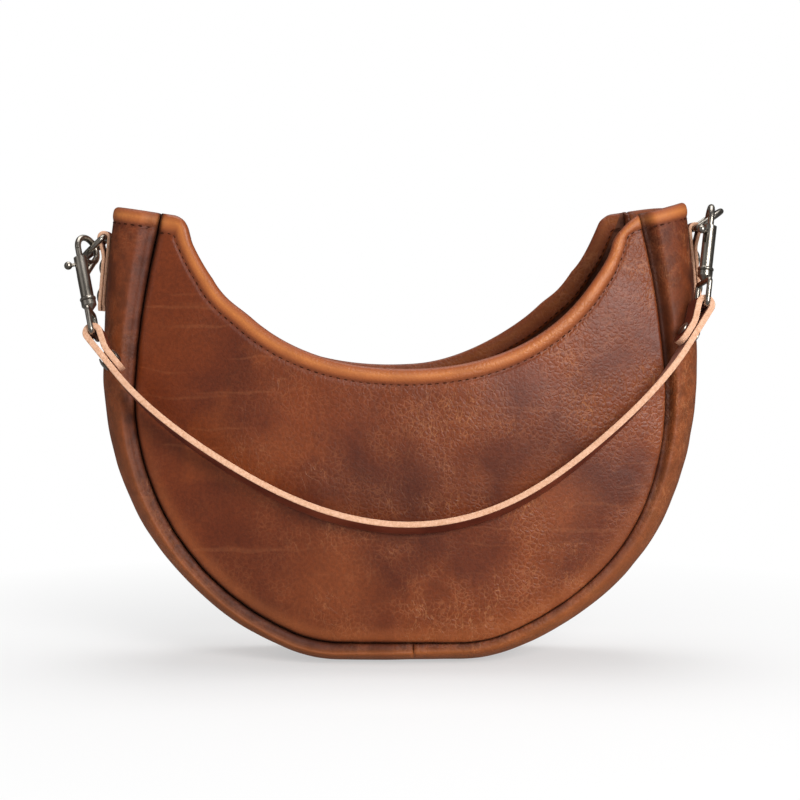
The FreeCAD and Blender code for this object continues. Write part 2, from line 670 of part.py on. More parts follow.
def eye_loop():
    """Rounded wire frame below the swivel shoulder, in the local XZ plane."""
    half = (size("eye_inner") + size("eye_wire")) / 2
    corner = size("eye_corner")
    soft = corner * (1 - math.sqrt(0.5))
    top = -size("end_fit") - size("shoulder_height") - size("shoulder_taper")
    low = -size("eye_drop")

    def at(x, z):
        return Vector(x, 0, z)

    right = [
        Part.makeLine(at(0, top), at(half - corner, top)),
        Part.Arc(at(half - corner, top), at(half - soft, top - soft), at(half, top - corner)).toShape(),
        Part.makeLine(at(half, top - corner), at(half, low + corner)),
        Part.Arc(at(half, low + corner), at(half - soft, low + soft), at(half - corner, low)).toShape(),
        Part.makeLine(at(half - corner, low), at(0, low)),
    ]
    left = [edge.mirror(Vector(0, 0, 0), Vector(1, 0, 0)) for edge in reversed(right)]
    section = Part.Wire(Part.makeCircle(size("eye_wire") / 2, at(0, top), Vector(1, 0, 0)))
    return Part.Wire(right + left).makePipeShell([section], True, False)


def swivel_eye(word, place):
    """Headed post in the barrel's floor, shoulder below it and the strap eye."""
    under = -size("end_fit")
    head = upright("Part::Cylinder", "head_" + word, HEAD_FOOT,
                   Radius="sizes.head_width / 2", Height="sizes.head_height")
    post = upright("Part::Cylinder", "post_" + word, under - size("shoulder_height"),
                   Radius="sizes.post_width / 2",
                   Height="sizes.shoulder_height + sizes.barrel_floor + 2 * sizes.end_fit"
                          " + sizes.head_height / 2")
    shoulder = upright("Part::Cylinder", "shoulder_" + word, under - size("shoulder_height"),
                       Radius="sizes.shoulder_width / 2", Height="sizes.shoulder_height")
    taper = upright("Part::Cone", "taper_" + word,
                    under - size("shoulder_height") - size("shoulder_taper"),
                    Radius1="sizes.eye_wire * 0.4", Radius2="sizes.shoulder_width / 2",
                    Height="sizes.shoulder_taper")
    loop = plain("loop_" + word, eye_loop())
    node(joined("eye_whole_" + word, [head, post, shoulder, taper, loop]), "swivel_eye_" + word, place)


def snap_frame(side, word, hold):
    """Foot of a snap's barrel, its axis going down and its hook's side."""
    lean_side = math.tan(math.radians(size("snap_side_" + word)))
    turn = math.radians(size("hook_turn_" + word))
    reach = HOOK_HEIGHT + size("eye_drop")
    beside = math.sin(turn) * (size("hook_radius") + size("hold_side_" + word))
    front = Station(CREST_LENGTH - reach).depth + size("eye_room_" + word)
    lean_front = (front - abs(hold.y) - beside) / reach
    down = Vector(-side * lean_side, -lean_front, -1).normalize()
    hook_side = Vector(math.cos(turn), math.sin(turn), 0)
    hook_side = (hook_side - down * hook_side.dot(down)).normalize()
    foot = (hold - hook_side * (size("hook_radius") + size("hold_side_" + word))
            + down * (HOOK_HEIGHT + size("hold_height_" + word)))
    return foot, down, hook_side


foot_left, down_left, hook_left = snap_frame(LEFT, "left", hold_left)
foot_right, down_right, hook_right = snap_frame(RIGHT, "right", hold_right)
eye_left = foot_left + down_left * size("eye_drop")
eye_right = foot_right + down_right * size("eye_drop")

# Strap: it leaves each eye in a straight folded end and hangs in front of the belly.
STRAP_TIP = math.radians(size("strap_tip"))
STRAP_SPREAD = 5
low_point = Vector(size("strap_low_side"), 0, size("strap_low"))
low_point.y = -(panel_depth(low_point) + size("strap_front")
                + size("strap_width") / 2 * math.cos(STRAP_TIP))


def strap_heading(eye):
    """Direction in which the strap leaves an eye."""
    span = eye.x - low_point.x
    slope = Vector(1, STRAP_SPREAD * (eye.y - low_point.y) / span, 2 * (eye.z - low_point.z) / span)
    return slope.normalize() * math.copysign(1, -span)


class StrapEnd:
    """Frame of a folded strap end: its heading, front direction and upper side."""

    def __init__(self, eye, down):
        self.eye = eye
        self.heading = strap_heading(eye)
        across = down.cross(self.heading).normalize()
        self.front = across * math.copysign(1, -across.y)
        upper = self.front.cross(self.heading)
        self.upper = upper * math.copysign(1, upper.z)
        self.bar = size("eye_wire") / 2 + size("fold_fit")
        middle = self.bar + size("strap_leather") / 2
        self.start = eye + self.heading * size("strap_fold") - self.upper * middle

    def place(self):
        return frame(self.eye, self.heading, self.heading.cross(self.upper))


END_LEFT = StrapEnd(eye_left, down_left)
END_RIGHT = StrapEnd(eye_right, down_right)
STRAP_SHARES = (0.66, 0.33)
STRAP_STEPS = 14


def strap_point(end, share):
    """A place on the strap's middle line between its low point and one end."""
    span = end.start - low_point
    return low_point + Vector(span.x * share, span.y * share ** STRAP_SPREAD, span.z * share ** 2)


def strap_band():
    """The strap between its two folded ends, a flat band tipped up at the front."""
    left = [END_LEFT.start] + [strap_point(END_LEFT, share) for share in STRAP_SHARES]
    right = [strap_point(END_RIGHT, share) for share in reversed(STRAP_SHARES)] + [END_RIGHT.start]
    route = Part.BSplineCurve()
    route.interpolate(Points=left + [low_point] + right, InitialTangent=END_LEFT.heading,
                      FinalTangent=END_RIGHT.heading * -1)
    middle = Vector(0, -math.cos(STRAP_TIP), math.sin(STRAP_TIP))
    sections = []
    for step in range(STRAP_STEPS + 1):
        share = step / STRAP_STEPS
        along = route.FirstParameter + (route.LastParameter - route.FirstParameter) * share
        point = route.value(along)
        heading = route.tangent(along)[0]
        end = END_LEFT if share < 0.5 else END_RIGHT
        weight = abs(2 * share - 1)
        front = end.front * weight + middle * (1 - weight)
        front = (front - heading * front.dot(heading)).normalize()
        half_front = front * (size("strap_width") / 2)
        half_thick = front.cross(heading).normalize() * (size("strap_leather") / 2)
        sections.append(Part.makePolygon([
            point + half_front + half_thick, point + half_front - half_thick,
            point - half_front - half_thick, point - half_front + half_thick,
            point + half_front + half_thick]))
    print("strap length", round(route.length(), 1))
    return Part.makeLoft(sections, True, False)


def strap_pieces():
    pieces = [plain("strap_band", strap_band())]
    holes = []
    wall = size("strap_leather")
    for word, end in (("left", END_LEFT), ("right", END_RIGHT)):
        fold = folded("strap_fold_" + word,
                      fold_face(end.bar, wall, size("strap_merge"), size("strap_fold"), size("strap_end")),
                      "sizes.strap_width")
        fold.Placement = end.place()
        pieces.append(fold)
        head = end.eye + end.heading * size("strap_rivet") - end.upper * (end.bar + wall)
        place = frame(head, end.heading, end.upper * -1)
        node(plain("strap_rivet_solid_" + word, rivet_shape(2 * wall, place)), "strap_rivet_" + word)
        hole = rivet_hole("strap_hole_" + word, frame(head - end.upper * wall, end.heading, end.upper),
                          "4 * sizes.strap_leather")
        holes.append(hole)
    whole = joined("strap_whole", pieces)
    node(cut("strap_punched", whole, joined("strap_holes", holes)), "strap")


for word, foot, down, hook_side, end in (
        ("left", foot_left, down_left, hook_left, END_LEFT),
        ("right", foot_right, down_right, hook_right, END_RIGHT)):
    snap_place = frame(foot, hook_side, down * -1)
    snap_body(word, snap_place)
    snap_bolt(word, snap_place)
    snap_spring(word, snap_place)
    swivel_eye(word, frame(foot, end.front, down * -1))
strap_pieces()

doc.recompute()
for piece in doc.Objects:
    if "Invalid" in piece.State or "Error" in piece.State:
        raise RuntimeError("%s did not build" % piece.Name)
for piece in NODES:
    shape = piece.Shape
    if shape.isNull() or not shape.isValid():
        raise RuntimeError("%s has no valid shape" % piece.Label)

os.makedirs("parts", exist_ok=True)
for piece in NODES:
    piece.Shape.exportStep("parts/%s.step" % piece.Label)


def told(name, vector):
    print(name, [round(value, 4) for value in vector])


told("left hold", hold_left)
told("right hold", hold_right)
told("left bar", bar_left)
told("right bar", bar_right)
told("left snap foot", foot_left)
told("right snap foot", foot_right)
told("left snap down", down_left)
told("right snap down", down_right)
told("left eye", eye_left)
told("right eye", eye_right)
told("strap low point", low_point)
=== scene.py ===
import json
import math

import bmesh
import bpy
import numpy as np
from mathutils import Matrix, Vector, noise


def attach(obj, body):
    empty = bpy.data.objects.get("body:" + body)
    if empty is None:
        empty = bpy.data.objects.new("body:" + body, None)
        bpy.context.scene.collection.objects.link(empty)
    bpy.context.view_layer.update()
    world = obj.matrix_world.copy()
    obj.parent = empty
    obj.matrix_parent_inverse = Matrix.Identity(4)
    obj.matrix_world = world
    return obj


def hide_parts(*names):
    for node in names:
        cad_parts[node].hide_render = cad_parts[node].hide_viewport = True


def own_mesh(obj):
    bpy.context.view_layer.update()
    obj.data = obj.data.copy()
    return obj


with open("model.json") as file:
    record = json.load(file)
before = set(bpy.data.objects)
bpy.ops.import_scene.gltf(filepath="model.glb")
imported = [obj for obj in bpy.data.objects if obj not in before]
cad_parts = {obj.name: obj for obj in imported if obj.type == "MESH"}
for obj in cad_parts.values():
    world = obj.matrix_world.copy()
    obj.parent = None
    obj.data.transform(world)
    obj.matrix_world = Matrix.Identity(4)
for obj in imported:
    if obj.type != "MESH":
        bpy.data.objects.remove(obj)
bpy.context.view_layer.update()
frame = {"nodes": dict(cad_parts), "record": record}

# Half moon shoulder bag of oiled full-grain leather. Lengths here are in
# millimetres in the frame of the solids, and become metres in the meshes.
MM = 0.001
QUARTER = math.pi / 2
SIDES = {"left": -1, "right": 1}
JOINTS = {joint["name"]: joint for joint in frame["record"]["behaviour"]["joints"]}

# Bag body, as in the solids.
HALF_WIDTH = 153.0
BASE_DROP = 6.0
CORNER = 75.0
HORN_RISE = 87.0
HORN_DRAW = 6.6
LEATHER = 2.0
ROLL_BASE, ROLL_TIP = 12.0, 25.5
CREST_BASE, CREST_TIP = 10.0, 15.0
BELLY_DEPTH = 75.6
BELLY_RADIUS = 918.0
BELLY_HEIGHT = 106.0
SEAM_ALLOWANCE = 7.0
SEAM_GAP = -0.12  # the solids leave 0.25 here; the sewn leather is pulled tight
HEM_WIDTH = 9.0
TIP_WIDTH = 12.5
MOUTH_DROP, MOUTH_SAG = 77.0, 5.0
BASE_SEAM = 7.0

# Sewing: where the hem's stitch line runs, and how long and thick a stitch is.
STITCH_INSET = 8.2
STITCH_PITCH, STITCH_LENGTH, STITCH_THICK = 3.8, 2.5, 0.8
STITCH_SEED = 7
# How far in from the outer face a stitch lies on a panel and on the gusset.
PANEL_STITCH, GUSSET_STITCH = 0.05, 0.35


# Colours and nodes

def shade(code):
    """Linear colour of an sRGB hex value."""
    parts = [int(code[i:i + 2], 16) / 255 for i in (1, 3, 5)]
    linear = [p / 12.92 if p <= 0.04045 else ((p + 0.055) / 1.055) ** 2.4 for p in parts]
    return (*linear, 1.0)


def add(tree, kind, inputs=None, stops=(), **settings):
    """Add a node with its settings, its constants or links, and a ramp's (position, colour or grey) stops.

    A node given as an input stands for its first output."""
    made = tree.nodes.new(kind)
    for key, value in settings.items():
        setattr(made, key, value)
    for key, value in (inputs or {}).items():
        source = value.outputs[0] if isinstance(value, bpy.types.Node) else value
        if isinstance(source, bpy.types.NodeSocket):
            tree.links.new(source, made.inputs[key])
        else:
            made.inputs[key].default_value = source
    if stops:
        elements = made.color_ramp.elements
        while len(elements) < len(stops):
            elements.new(0.5)
        for element, (position, colour) in zip(elements, stops):
            element.position = position
            element.color = shade(colour) if isinstance(colour, str) else (colour, colour, colour, 1)
    return made


def per_metre(millimetres):
    """Texture scale that gives features of this size."""
    return 1000.0 / millimetres


def new_finish(name):
    """New material: itself, its empty node tree and its place on the object."""
    material = bpy.data.materials.new(name)
    material.use_nodes = True
    tree = material.node_tree
    tree.nodes.clear()
    return material, tree, add(tree, "ShaderNodeTexCoord").outputs["Object"]


# Sockets of the colour mix node, which gives several of its sockets the same name.
MIX_SHARE, MIX_UNDER, MIX_OVER, MIXED = 0, 6, 7, 2


# Hide of the body

# Noise on the hide: the size of its features in millimetres, and its detail. Pores are drawn
# coarser than they are, so that they show.
HIDE_NOISE = {"wax": (70, 3.0), "pull_up": (42, 2.0), "tumbling": (38, 2.0), "crease_group": (26, 1.0),
              "hem_wax": (13, 3.0), "furrow_break": (9, 2.0), "mottle": (6.5, 4.0), "speck": (1.7, 2.0),
              "pore": (0.9, 2.0)}
# Two large orange clouds on the belly: centre and reach.
WAX_CLOUDS = (((-34, -37, 43), 34), ((78, -34, 85), 30))
# The hide is more tumbled on the right of the bag than on its left, and is painted paler there as
# light from the key lamp.
LIGHT_AND_WEAR_FROM, LIGHT_AND_WEAR_TO = -110, 60
GRAIN_CELL = 2.5
CREASE_WIDTH, CREASE_STRETCH = 3.2, 0.22
LINE_LENGTH, LINE_SPACING = 71.43, 3.846


def shaken(tree, place, size, shift):
    """Place moved about by noise with features of this size."""
    jolt = add(tree, "ShaderNodeTexNoise", {"Vector": place, "Scale": per_metre(size), "Detail": 2.0})
    jolt = add(tree, "ShaderNodeVectorMath", {0: jolt.outputs["Color"], 1: (0.5, 0.5, 0.5)},
               operation="SUBTRACT")
    jolt = add(tree, "ShaderNodeVectorMath", {0: jolt, "Scale": shift * 2 * MM}, operation="SCALE")
    return add(tree, "ShaderNodeVectorMath", {0: place, 1: jolt}, operation="ADD")


def hide_pull_up(tree, place, spots):
    """Where wax was pulled up to orange: two large clouds and small ones all over."""
    patch = add(tree, "ShaderNodeValToRGB", {"Fac": spots["pull_up"]}, stops=((0.56, 0.0), (0.74, 0.55)))
    for centre, reach in WAX_CLOUDS:
        centre = [value * MM for value in centre]
        away = add(tree, "ShaderNodeVectorMath", {0: shaken(tree, place, 30, 14), 1: centre},
                   operation="DISTANCE")
        cloud = add(tree, "ShaderNodeMapRange", {"Value": away.outputs["Value"], "From Min": 0.2 * reach * MM,
                                                 "From Max": reach * MM, "To Min": 0.6, "To Max": 0.0})
        patch = add(tree, "ShaderNodeMath", {0: patch, 1: cloud}, operation="MAXIMUM")
    return patch


def hide_wear_and_light(tree, place, spots, roll):
    """Where the hide is paler and its grain shows more: towards the right, as painted light from the
    key lamp and as tumbling, and on the roll, in patches.
    """
    across = add(tree, "ShaderNodeSeparateXYZ", {"Vector": place})
    # Painted light: paler towards the right, where the key lamp falls.
    side = add(tree, "ShaderNodeMapRange", {"Value": across, "From Min": LIGHT_AND_WEAR_FROM * MM,
                                            "From Max": LIGHT_AND_WEAR_TO * MM, "To Min": 0.12, "To Max": 1.0})
    rolled = add(tree, "ShaderNodeMath", {0: roll, 1: 0.7}, operation="MULTIPLY")
    most = add(tree, "ShaderNodeMath", {0: side, 1: rolled}, operation="MAXIMUM")
    spread = add(tree, "ShaderNodeValToRGB", {"Fac": spots["tumbling"]}, stops=((0.38, 0.12), (0.6, 1.0)))
    return add(tree, "ShaderNodeMath", {0: most, 1: spread}, operation="MULTIPLY")


def hide_furrows(tree, spots, wear_and_light, cells):
    """Pale furrows between the grain cells, broken here and there."""
    furrow = add(tree, "ShaderNodeValToRGB", {"Fac": cells}, stops=((0.0, 1.0), (0.12, 0.0)))
    whole = add(tree, "ShaderNodeValToRGB", {"Fac": spots["furrow_break"]}, stops=((0.4, 0.15), (0.58, 1.0)))
    for mask in (whole, wear_and_light):
        furrow = add(tree, "ShaderNodeMath", {0: furrow, 1: mask}, operation="MULTIPLY")
    return furrow


def hide_creases(tree, place, spots, wear_and_light):
    """Longer creases, mostly upright, in loose groups."""
    upright = add(tree, "ShaderNodeMapping",
                  {"Vector": shaken(tree, place, 11, 4), "Scale": (1.0, 1.0, CREASE_STRETCH)})
    folds = add(tree, "ShaderNodeTexNoise",
                {"Vector": upright, "Scale": per_metre(CREASE_WIDTH), "Detail": 1.5})
    ridge = add(tree, "ShaderNodeMath", {0: folds, 1: 0.5}, operation="SUBTRACT")
    ridge = add(tree, "ShaderNodeMath", {0: ridge}, operation="ABSOLUTE")
    crease = add(tree, "ShaderNodeValToRGB", {"Fac": ridge}, stops=((0.0, 1.0), (0.022, 0.0)))
    group = add(tree, "ShaderNodeValToRGB", {"Fac": spots["crease_group"]}, stops=((0.46, 0.0), (0.62, 1.0)))
    for mask in (group, wear_and_light):
        crease = add(tree, "ShaderNodeMath", {0: crease, 1: mask}, operation="MULTIPLY")
    return crease


def hide_lines(tree, place):
    """Long faint lines that run with the hide."""
    stretched = add(tree, "ShaderNodeMapping",
                    {"Vector": shaken(tree, place, 40, 6), "Rotation": (0.0, 0.05, 0.0),
                     "Scale": (per_metre(LINE_LENGTH), per_metre(LINE_LENGTH), per_metre(LINE_SPACING))})
    line = add(tree, "ShaderNodeTexNoise", {"Vector": stretched, "Scale": 1.0, "Detail": 1.0})
    return add(tree, "ShaderNodeValToRGB", {"Fac": line}, stops=((0.66, 0.0), (0.74, 0.2)))


def hem_colour(tree, spots, band):
    """Hems are pulled up to orange, with a painted highlight along their rounded middle, and are
    darker at the rim and at the stitches as painted shade.
    """
    colour = add(tree, "ShaderNodeValToRGB", {"Fac": band},
                 stops=((0.0, "#7a3c1f"), (0.14, "#9a5029"), (0.45, "#c0733a"), (0.72, "#a4592b"),
                        (0.9, "#7c3e20"), (1.0, "#6a3019")))
    wax = add(tree, "ShaderNodeValToRGB", {"Fac": spots["hem_wax"]}, stops=((0.35, 0.35), (0.62, 0.0)))
    return add(tree, "ShaderNodeMix", {MIX_SHARE: wax, MIX_UNDER: colour, MIX_OVER: shade("#8c4a24")},
               data_type="RGBA").outputs[MIXED]


def body_leather():
    """Waxed pull-up cowhide, drum tumbled: red brown, orange where it is stretched or folded.

    It shows grain cells with paler furrows, creases, and clouds of wax with a soft gloss."""
    material, tree, place = new_finish("oiled_cowhide")
    spots = {}
    for name, (size, detail) in HIDE_NOISE.items():
        spots[name] = add(tree, "ShaderNodeTexNoise",
                          {"Vector": place, "Scale": per_metre(size), "Detail": detail})
    spots["pull_up"].inputs["Distortion"].default_value = 0.7
    # Attributes of the meshes: the gusset's roll, hems, the place across a hem, and the painted
    # shade of the seam groove.
    roll, hem, band, seam_shade = [add(tree, "ShaderNodeAttribute", attribute_name=name).outputs["Fac"]
                               for name in ("roll", "hem", "band", "seam_shade")]
    cells = add(tree, "ShaderNodeTexVoronoi",
                {"Vector": shaken(tree, place, 3.5, 1.3), "Scale": per_metre(GRAIN_CELL)},
                feature="DISTANCE_TO_EDGE")
    wear_and_light = hide_wear_and_light(tree, place, spots, roll)
    crease = hide_creases(tree, place, spots, wear_and_light)
    speck = add(tree, "ShaderNodeValToRGB", {"Fac": spots["speck"]}, stops=((0.36, 0.68), (0.64, 1.0)))
    mottle = add(tree, "ShaderNodeValToRGB", {"Fac": spots["mottle"]}, stops=((0.45, 0.0), (0.62, 0.6)))
    colour = add(tree, "ShaderNodeValToRGB", {"Fac": spots["wax"]},
                 stops=((0.3, "#521e09"), (0.5, "#66290d"), (0.7, "#7b3614")))
    # Layers from the dye up: mask, amount, the colour laid over and how it is mixed. The wear layer
    # also paints the hide paler towards the right as light from the key lamp, the hem colour holds a
    # painted highlight and painted shade, and the last layer is painted shade in the seam grooves. Only
    # the roll is mottled, because it is bent hardest.
    layers = ((hide_pull_up(tree, place, spots), 1.0, shade("#94481c"), "MIX"),
              (wear_and_light, 0.45, shade("#93491f"), "MIX"),
              (hide_furrows(tree, spots, wear_and_light, cells), 0.52, shade("#ae6c44"), "MIX"),
              (crease, 0.62, shade("#bd7c4e"), "MIX"),
              (hide_lines(tree, place), 1.0, shade("#9c5b36"), "MIX"),
              (1.0, 0.6, speck, "MULTIPLY"),
              (mottle, roll, shade("#451704"), "MIX"),
              (hem, 1.0, hem_colour(tree, spots, band), "MIX"),
              (seam_shade, 1.0, shade("#241008"), "MIX"))
    for mask, amount, over, way in layers:
        share = add(tree, "ShaderNodeMath", {0: mask, 1: amount}, operation="MULTIPLY")
        colour = add(tree, "ShaderNodeMix", {MIX_SHARE: share, MIX_UNDER: colour, MIX_OVER: over},
                     data_type="RGBA", blend_type=way).outputs[MIXED]
    # Relief: fine pores, rounded cells and sunk creases.
    mound = add(tree, "ShaderNodeValToRGB", {"Fac": cells}, stops=((0.0, 0.0), (0.3, 1.0)))
    raised = add(tree, "ShaderNodeMath", {0: wear_and_light, 1: 0.2}, operation="ADD")
    mound = add(tree, "ShaderNodeMath", {0: mound, 1: raised}, operation="MULTIPLY")
    relief = 0.0
    for form, height in ((spots["pore"], 0.22), (mound, 0.38), (crease, -0.6)):
        relief = add(tree, "ShaderNodeMath", {0: form, 1: height, 2: relief}, operation="MULTIPLY_ADD")
    bump = add(tree, "ShaderNodeBump", {"Height": relief, "Strength": 0.6, "Distance": 0.5 * MM})
    # Wax clouds shine a little more, and the roll less.
    gloss = add(tree, "ShaderNodeValToRGB", {"Fac": spots["wax"]}, stops=((0.3, 0.45), (0.7, 0.38)))
    gloss = add(tree, "ShaderNodeMath", {0: roll, 1: 0.16, 2: gloss}, operation="MULTIPLY_ADD")
    shader = add(tree, "ShaderNodeBsdfPrincipled", {"Base Color": colour, "Roughness": gloss,
                                                    "Specular IOR Level": 0.33, "Normal": bump})
    add(tree, "ShaderNodeOutputMaterial", {"Surface": shader})
    return material


# Other finishes

def flesh_leather():
    """The hide's flesh side inside the bag: matt, darker, with a short nap."""
    material, tree, place = new_finish("cowhide_flesh_side")
    nap = add(tree, "ShaderNodeTexNoise", {"Vector": place, "Scale": per_metre(3), "Detail": 4.0})
    colour = add(tree, "ShaderNodeValToRGB", {"Fac": nap}, stops=((0.3, "#4a2413"), (0.7, "#6b3a22")))
    bump = add(tree, "ShaderNodeBump", {"Height": nap, "Strength": 0.35, "Distance": 0.4 * MM})
    shader = add(tree, "ShaderNodeBsdfPrincipled", {"Base Color": colour, "Roughness": 0.85, "Normal": bump})
    add(tree, "ShaderNodeOutputMaterial", {"Surface": shader})
    return material


def strap_grain():
    """Harness leather, smooth and burnished: red brown with a soft wax gloss, its pores drawn coarse."""
    material, tree, place = new_finish("harness_leather_grain")
    wax = add(tree, "ShaderNodeTexNoise", {"Vector": place, "Scale": per_metre(22), "Detail": 3.0})
    colour = add(tree, "ShaderNodeValToRGB", {"Fac": wax}, stops=((0.3, "#5a2113"), (0.7, "#7d3a25")))
    pore = add(tree, "ShaderNodeTexNoise", {"Vector": place, "Scale": per_metre(0.9), "Detail": 2.0})
    bump = add(tree, "ShaderNodeBump", {"Height": pore, "Strength": 0.2, "Distance": 0.3 * MM})
    shader = add(tree, "ShaderNodeBsdfPrincipled", {"Base Color": colour, "Roughness": 0.5,
                                                    "Specular IOR Level": 0.3, "Normal": bump})
    add(tree, "ShaderNodeOutputMaterial", {"Surface": shader})
    return material


def strap_back():
    """Flesh side of the strap: mauve brown, matt, with a little fibre."""
    material, tree, place = new_finish("harness_leather_back")
    fibre = add(tree, "ShaderNodeTexNoise", {"Vector": place, "Scale": per_metre(2.5), "Detail": 4.0})
    colour = add(tree, "ShaderNodeValToRGB", {"Fac": fibre}, stops=((0.3, "#8a5646"), (0.7, "#a9705c")))
    shader = add(tree, "ShaderNodeBsdfPrincipled", {"Base Color": colour, "Roughness": 0.7})
    add(tree, "ShaderNodeOutputMaterial", {"Surface": shader})
    return material


def raw_edge():
    """Cut edge of undyed tanned leather: pale peach, fibrous and matt."""
    material, tree, place = new_finish("raw_leather_edge")
    fibre = add(tree, "ShaderNodeTexNoise", {"Vector": place, "Scale": per_metre(1.4), "Detail": 4.0,
                                             "Roughness": 0.7})
    colour = add(tree, "ShaderNodeValToRGB", {"Fac": fibre}, stops=((0.3, "#c9936f"), (0.65, "#e6b798")))
    bump = add(tree, "ShaderNodeBump", {"Height": fibre, "Strength": 0.4, "Distance": 0.3 * MM})
    shader = add(tree, "ShaderNodeBsdfPrincipled", {"Base Color": colour, "Roughness": 0.75, "Normal": bump})
    add(tree, "ShaderNodeOutputMaterial", {"Surface": shader})
    return material


def sewing_thread():
    """Waxed polyester thread: dark brown and dull, its twist drawn coarser than it is so that it shows."""
    material, tree, place = new_finish("waxed_thread")
    twist = add(tree, "ShaderNodeTexNoise", {"Vector": place, "Scale": per_metre(0.6), "Detail": 1.0})
    colour = add(tree, "ShaderNodeValToRGB", {"Fac": twist}, stops=((0.35, "#2c1206"), (0.65, "#47200d")))
    shader = add(tree, "ShaderNodeBsdfPrincipled", {"Base Color": colour, "Roughness": 0.7,
                                                    "Specular IOR Level": 0.12})
    add(tree, "ShaderNodeOutputMaterial", {"Surface": shader})
    return material


def dark_nickel(name, light, dark, rough):
    """Antique nickel plate on steel: grey, softly polished and a little stained."""
    material, tree, place = new_finish(name)
    stain = add(tree, "ShaderNodeTexNoise", {"Vector": place, "Scale": per_metre(9), "Detail": 2.0})
    colour = add(tree, "ShaderNodeValToRGB", {"Fac": stain}, stops=((0.35, dark), (0.65, light)))
    polish = add(tree, "ShaderNodeValToRGB", {"Fac": stain}, stops=((0.3, rough), (0.7, rough + 0.08)))
    shader = add(tree, "ShaderNodeBsdfPrincipled", {"Base Color": colour, "Metallic": 1.0,
                                                    "Roughness": polish})
    add(tree, "ShaderNodeOutputMaterial", {"Surface": shader})
    return material


HIDE = body_leather()
FLESH = flesh_leather()
GRAIN = strap_grain()
EDGE = raw_edge()
THREAD = sewing_thread()
STRAP_FLESH = strap_back()
NICKEL = dark_nickel("antique_nickel", "#b3aba0", "#8d867c", 0.27)
CAP = dark_nickel("antique_nickel_caps", "#b9b1a5", "#938b80", 0.27)
SPRING = dark_nickel("spring_wire", "#b9b9b6", "#8c8c88", 0.25)


# Meshes

def make_piece(name, points, faces, materials, face_slots=None, attributes=None):
    """Mesh object from points in millimetres, smooth, with point attributes."""
    mesh = bpy.data.meshes.new(name)
    mesh.from_pydata((np.asarray(points) * MM).tolist(), [], faces)
    for material in materials:
        mesh.materials.append(material)
    if face_slots is not None:
        mesh.polygons.foreach_set("material_index", np.asarray(face_slots, dtype=np.int32))
    for key, values in (attributes or {}).items():
        layer = mesh.attributes.new(key, "FLOAT", "POINT")
        layer.data.foreach_set("value", np.asarray(values, dtype=np.float32).ravel())
    mesh.polygons.foreach_set("use_smooth", np.ones(len(mesh.polygons), dtype=bool))
    mesh.validate()
    mesh.update()
    made = bpy.data.objects.new(name, mesh)
    bpy.context.scene.collection.objects.link(made)
    return made


def wrap_faces(rows, columns):
    """Quads of a grid whose columns close into a ring."""
    faces = []
    for row in range(rows - 1):
        for column in range(columns):
            after = (column + 1) % columns
            faces.append((row * columns + column, row * columns + after,
                          (row + 1) * columns + after, (row + 1) * columns + column))
    return faces


def clean(made, merge=0.02):
    """Merge doubled points and turn the faces outwards."""
    work = bmesh.new()
    work.from_mesh(made.data)
    bmesh.ops.remove_doubles(work, verts=work.verts, dist=merge * MM)
    bmesh.ops.recalc_face_normals(work, faces=work.faces)
    work.to_mesh(made.data)
    work.free()
    return made


SEED_SHIFT = (7.3, -3.1, 1.7)


def wave(x, y, z, period, seed):
    """Smooth noise from -1 to 1 with features of this size."""
    return noise.noise(Vector([value / period + shift * seed
                               for value, shift in zip((x, y, z), SEED_SHIFT)]))


def waves(x, y, z, rows):
    """Sum of waves that are given by their heights, periods and seeds."""
    return sum(height * wave(x, y, z, period, seed) for height, period, seed in rows)


def rise(value, start, end):
    """Smooth step from 0 at the start to 1 at the end."""
    share = min(1.0, max(0.0, (value - start) / (end - start)))
    return share * share * (3 - 2 * share)


def unit(vector):
    """Vector of length 1 in the same direction."""
    return vector / np.linalg.norm(vector)


# Outline of the bag, as in the solids

WIDEST = HALF_WIDTH - BASE_DROP
BASE_HALF = math.sqrt(2 * BASE_DROP * (HALF_WIDTH - BASE_DROP / 2 - CORNER))
CORNER_TURN = math.asin(BASE_HALF / (HALF_WIDTH - CORNER))
HORN_RADIUS = (HORN_RISE ** 2 + HORN_DRAW ** 2) / (2 * HORN_DRAW)
CORNER_LENGTH = CORNER * CORNER_TURN
ROUND_LENGTH = HALF_WIDTH * (QUARTER - CORNER_TURN)
CREST_LENGTH = CORNER_LENGTH + ROUND_LENGTH + HORN_RADIUS * math.asin(HORN_RISE / HORN_RADIUS)
PANEL_HALF = BASE_HALF + CREST_LENGTH


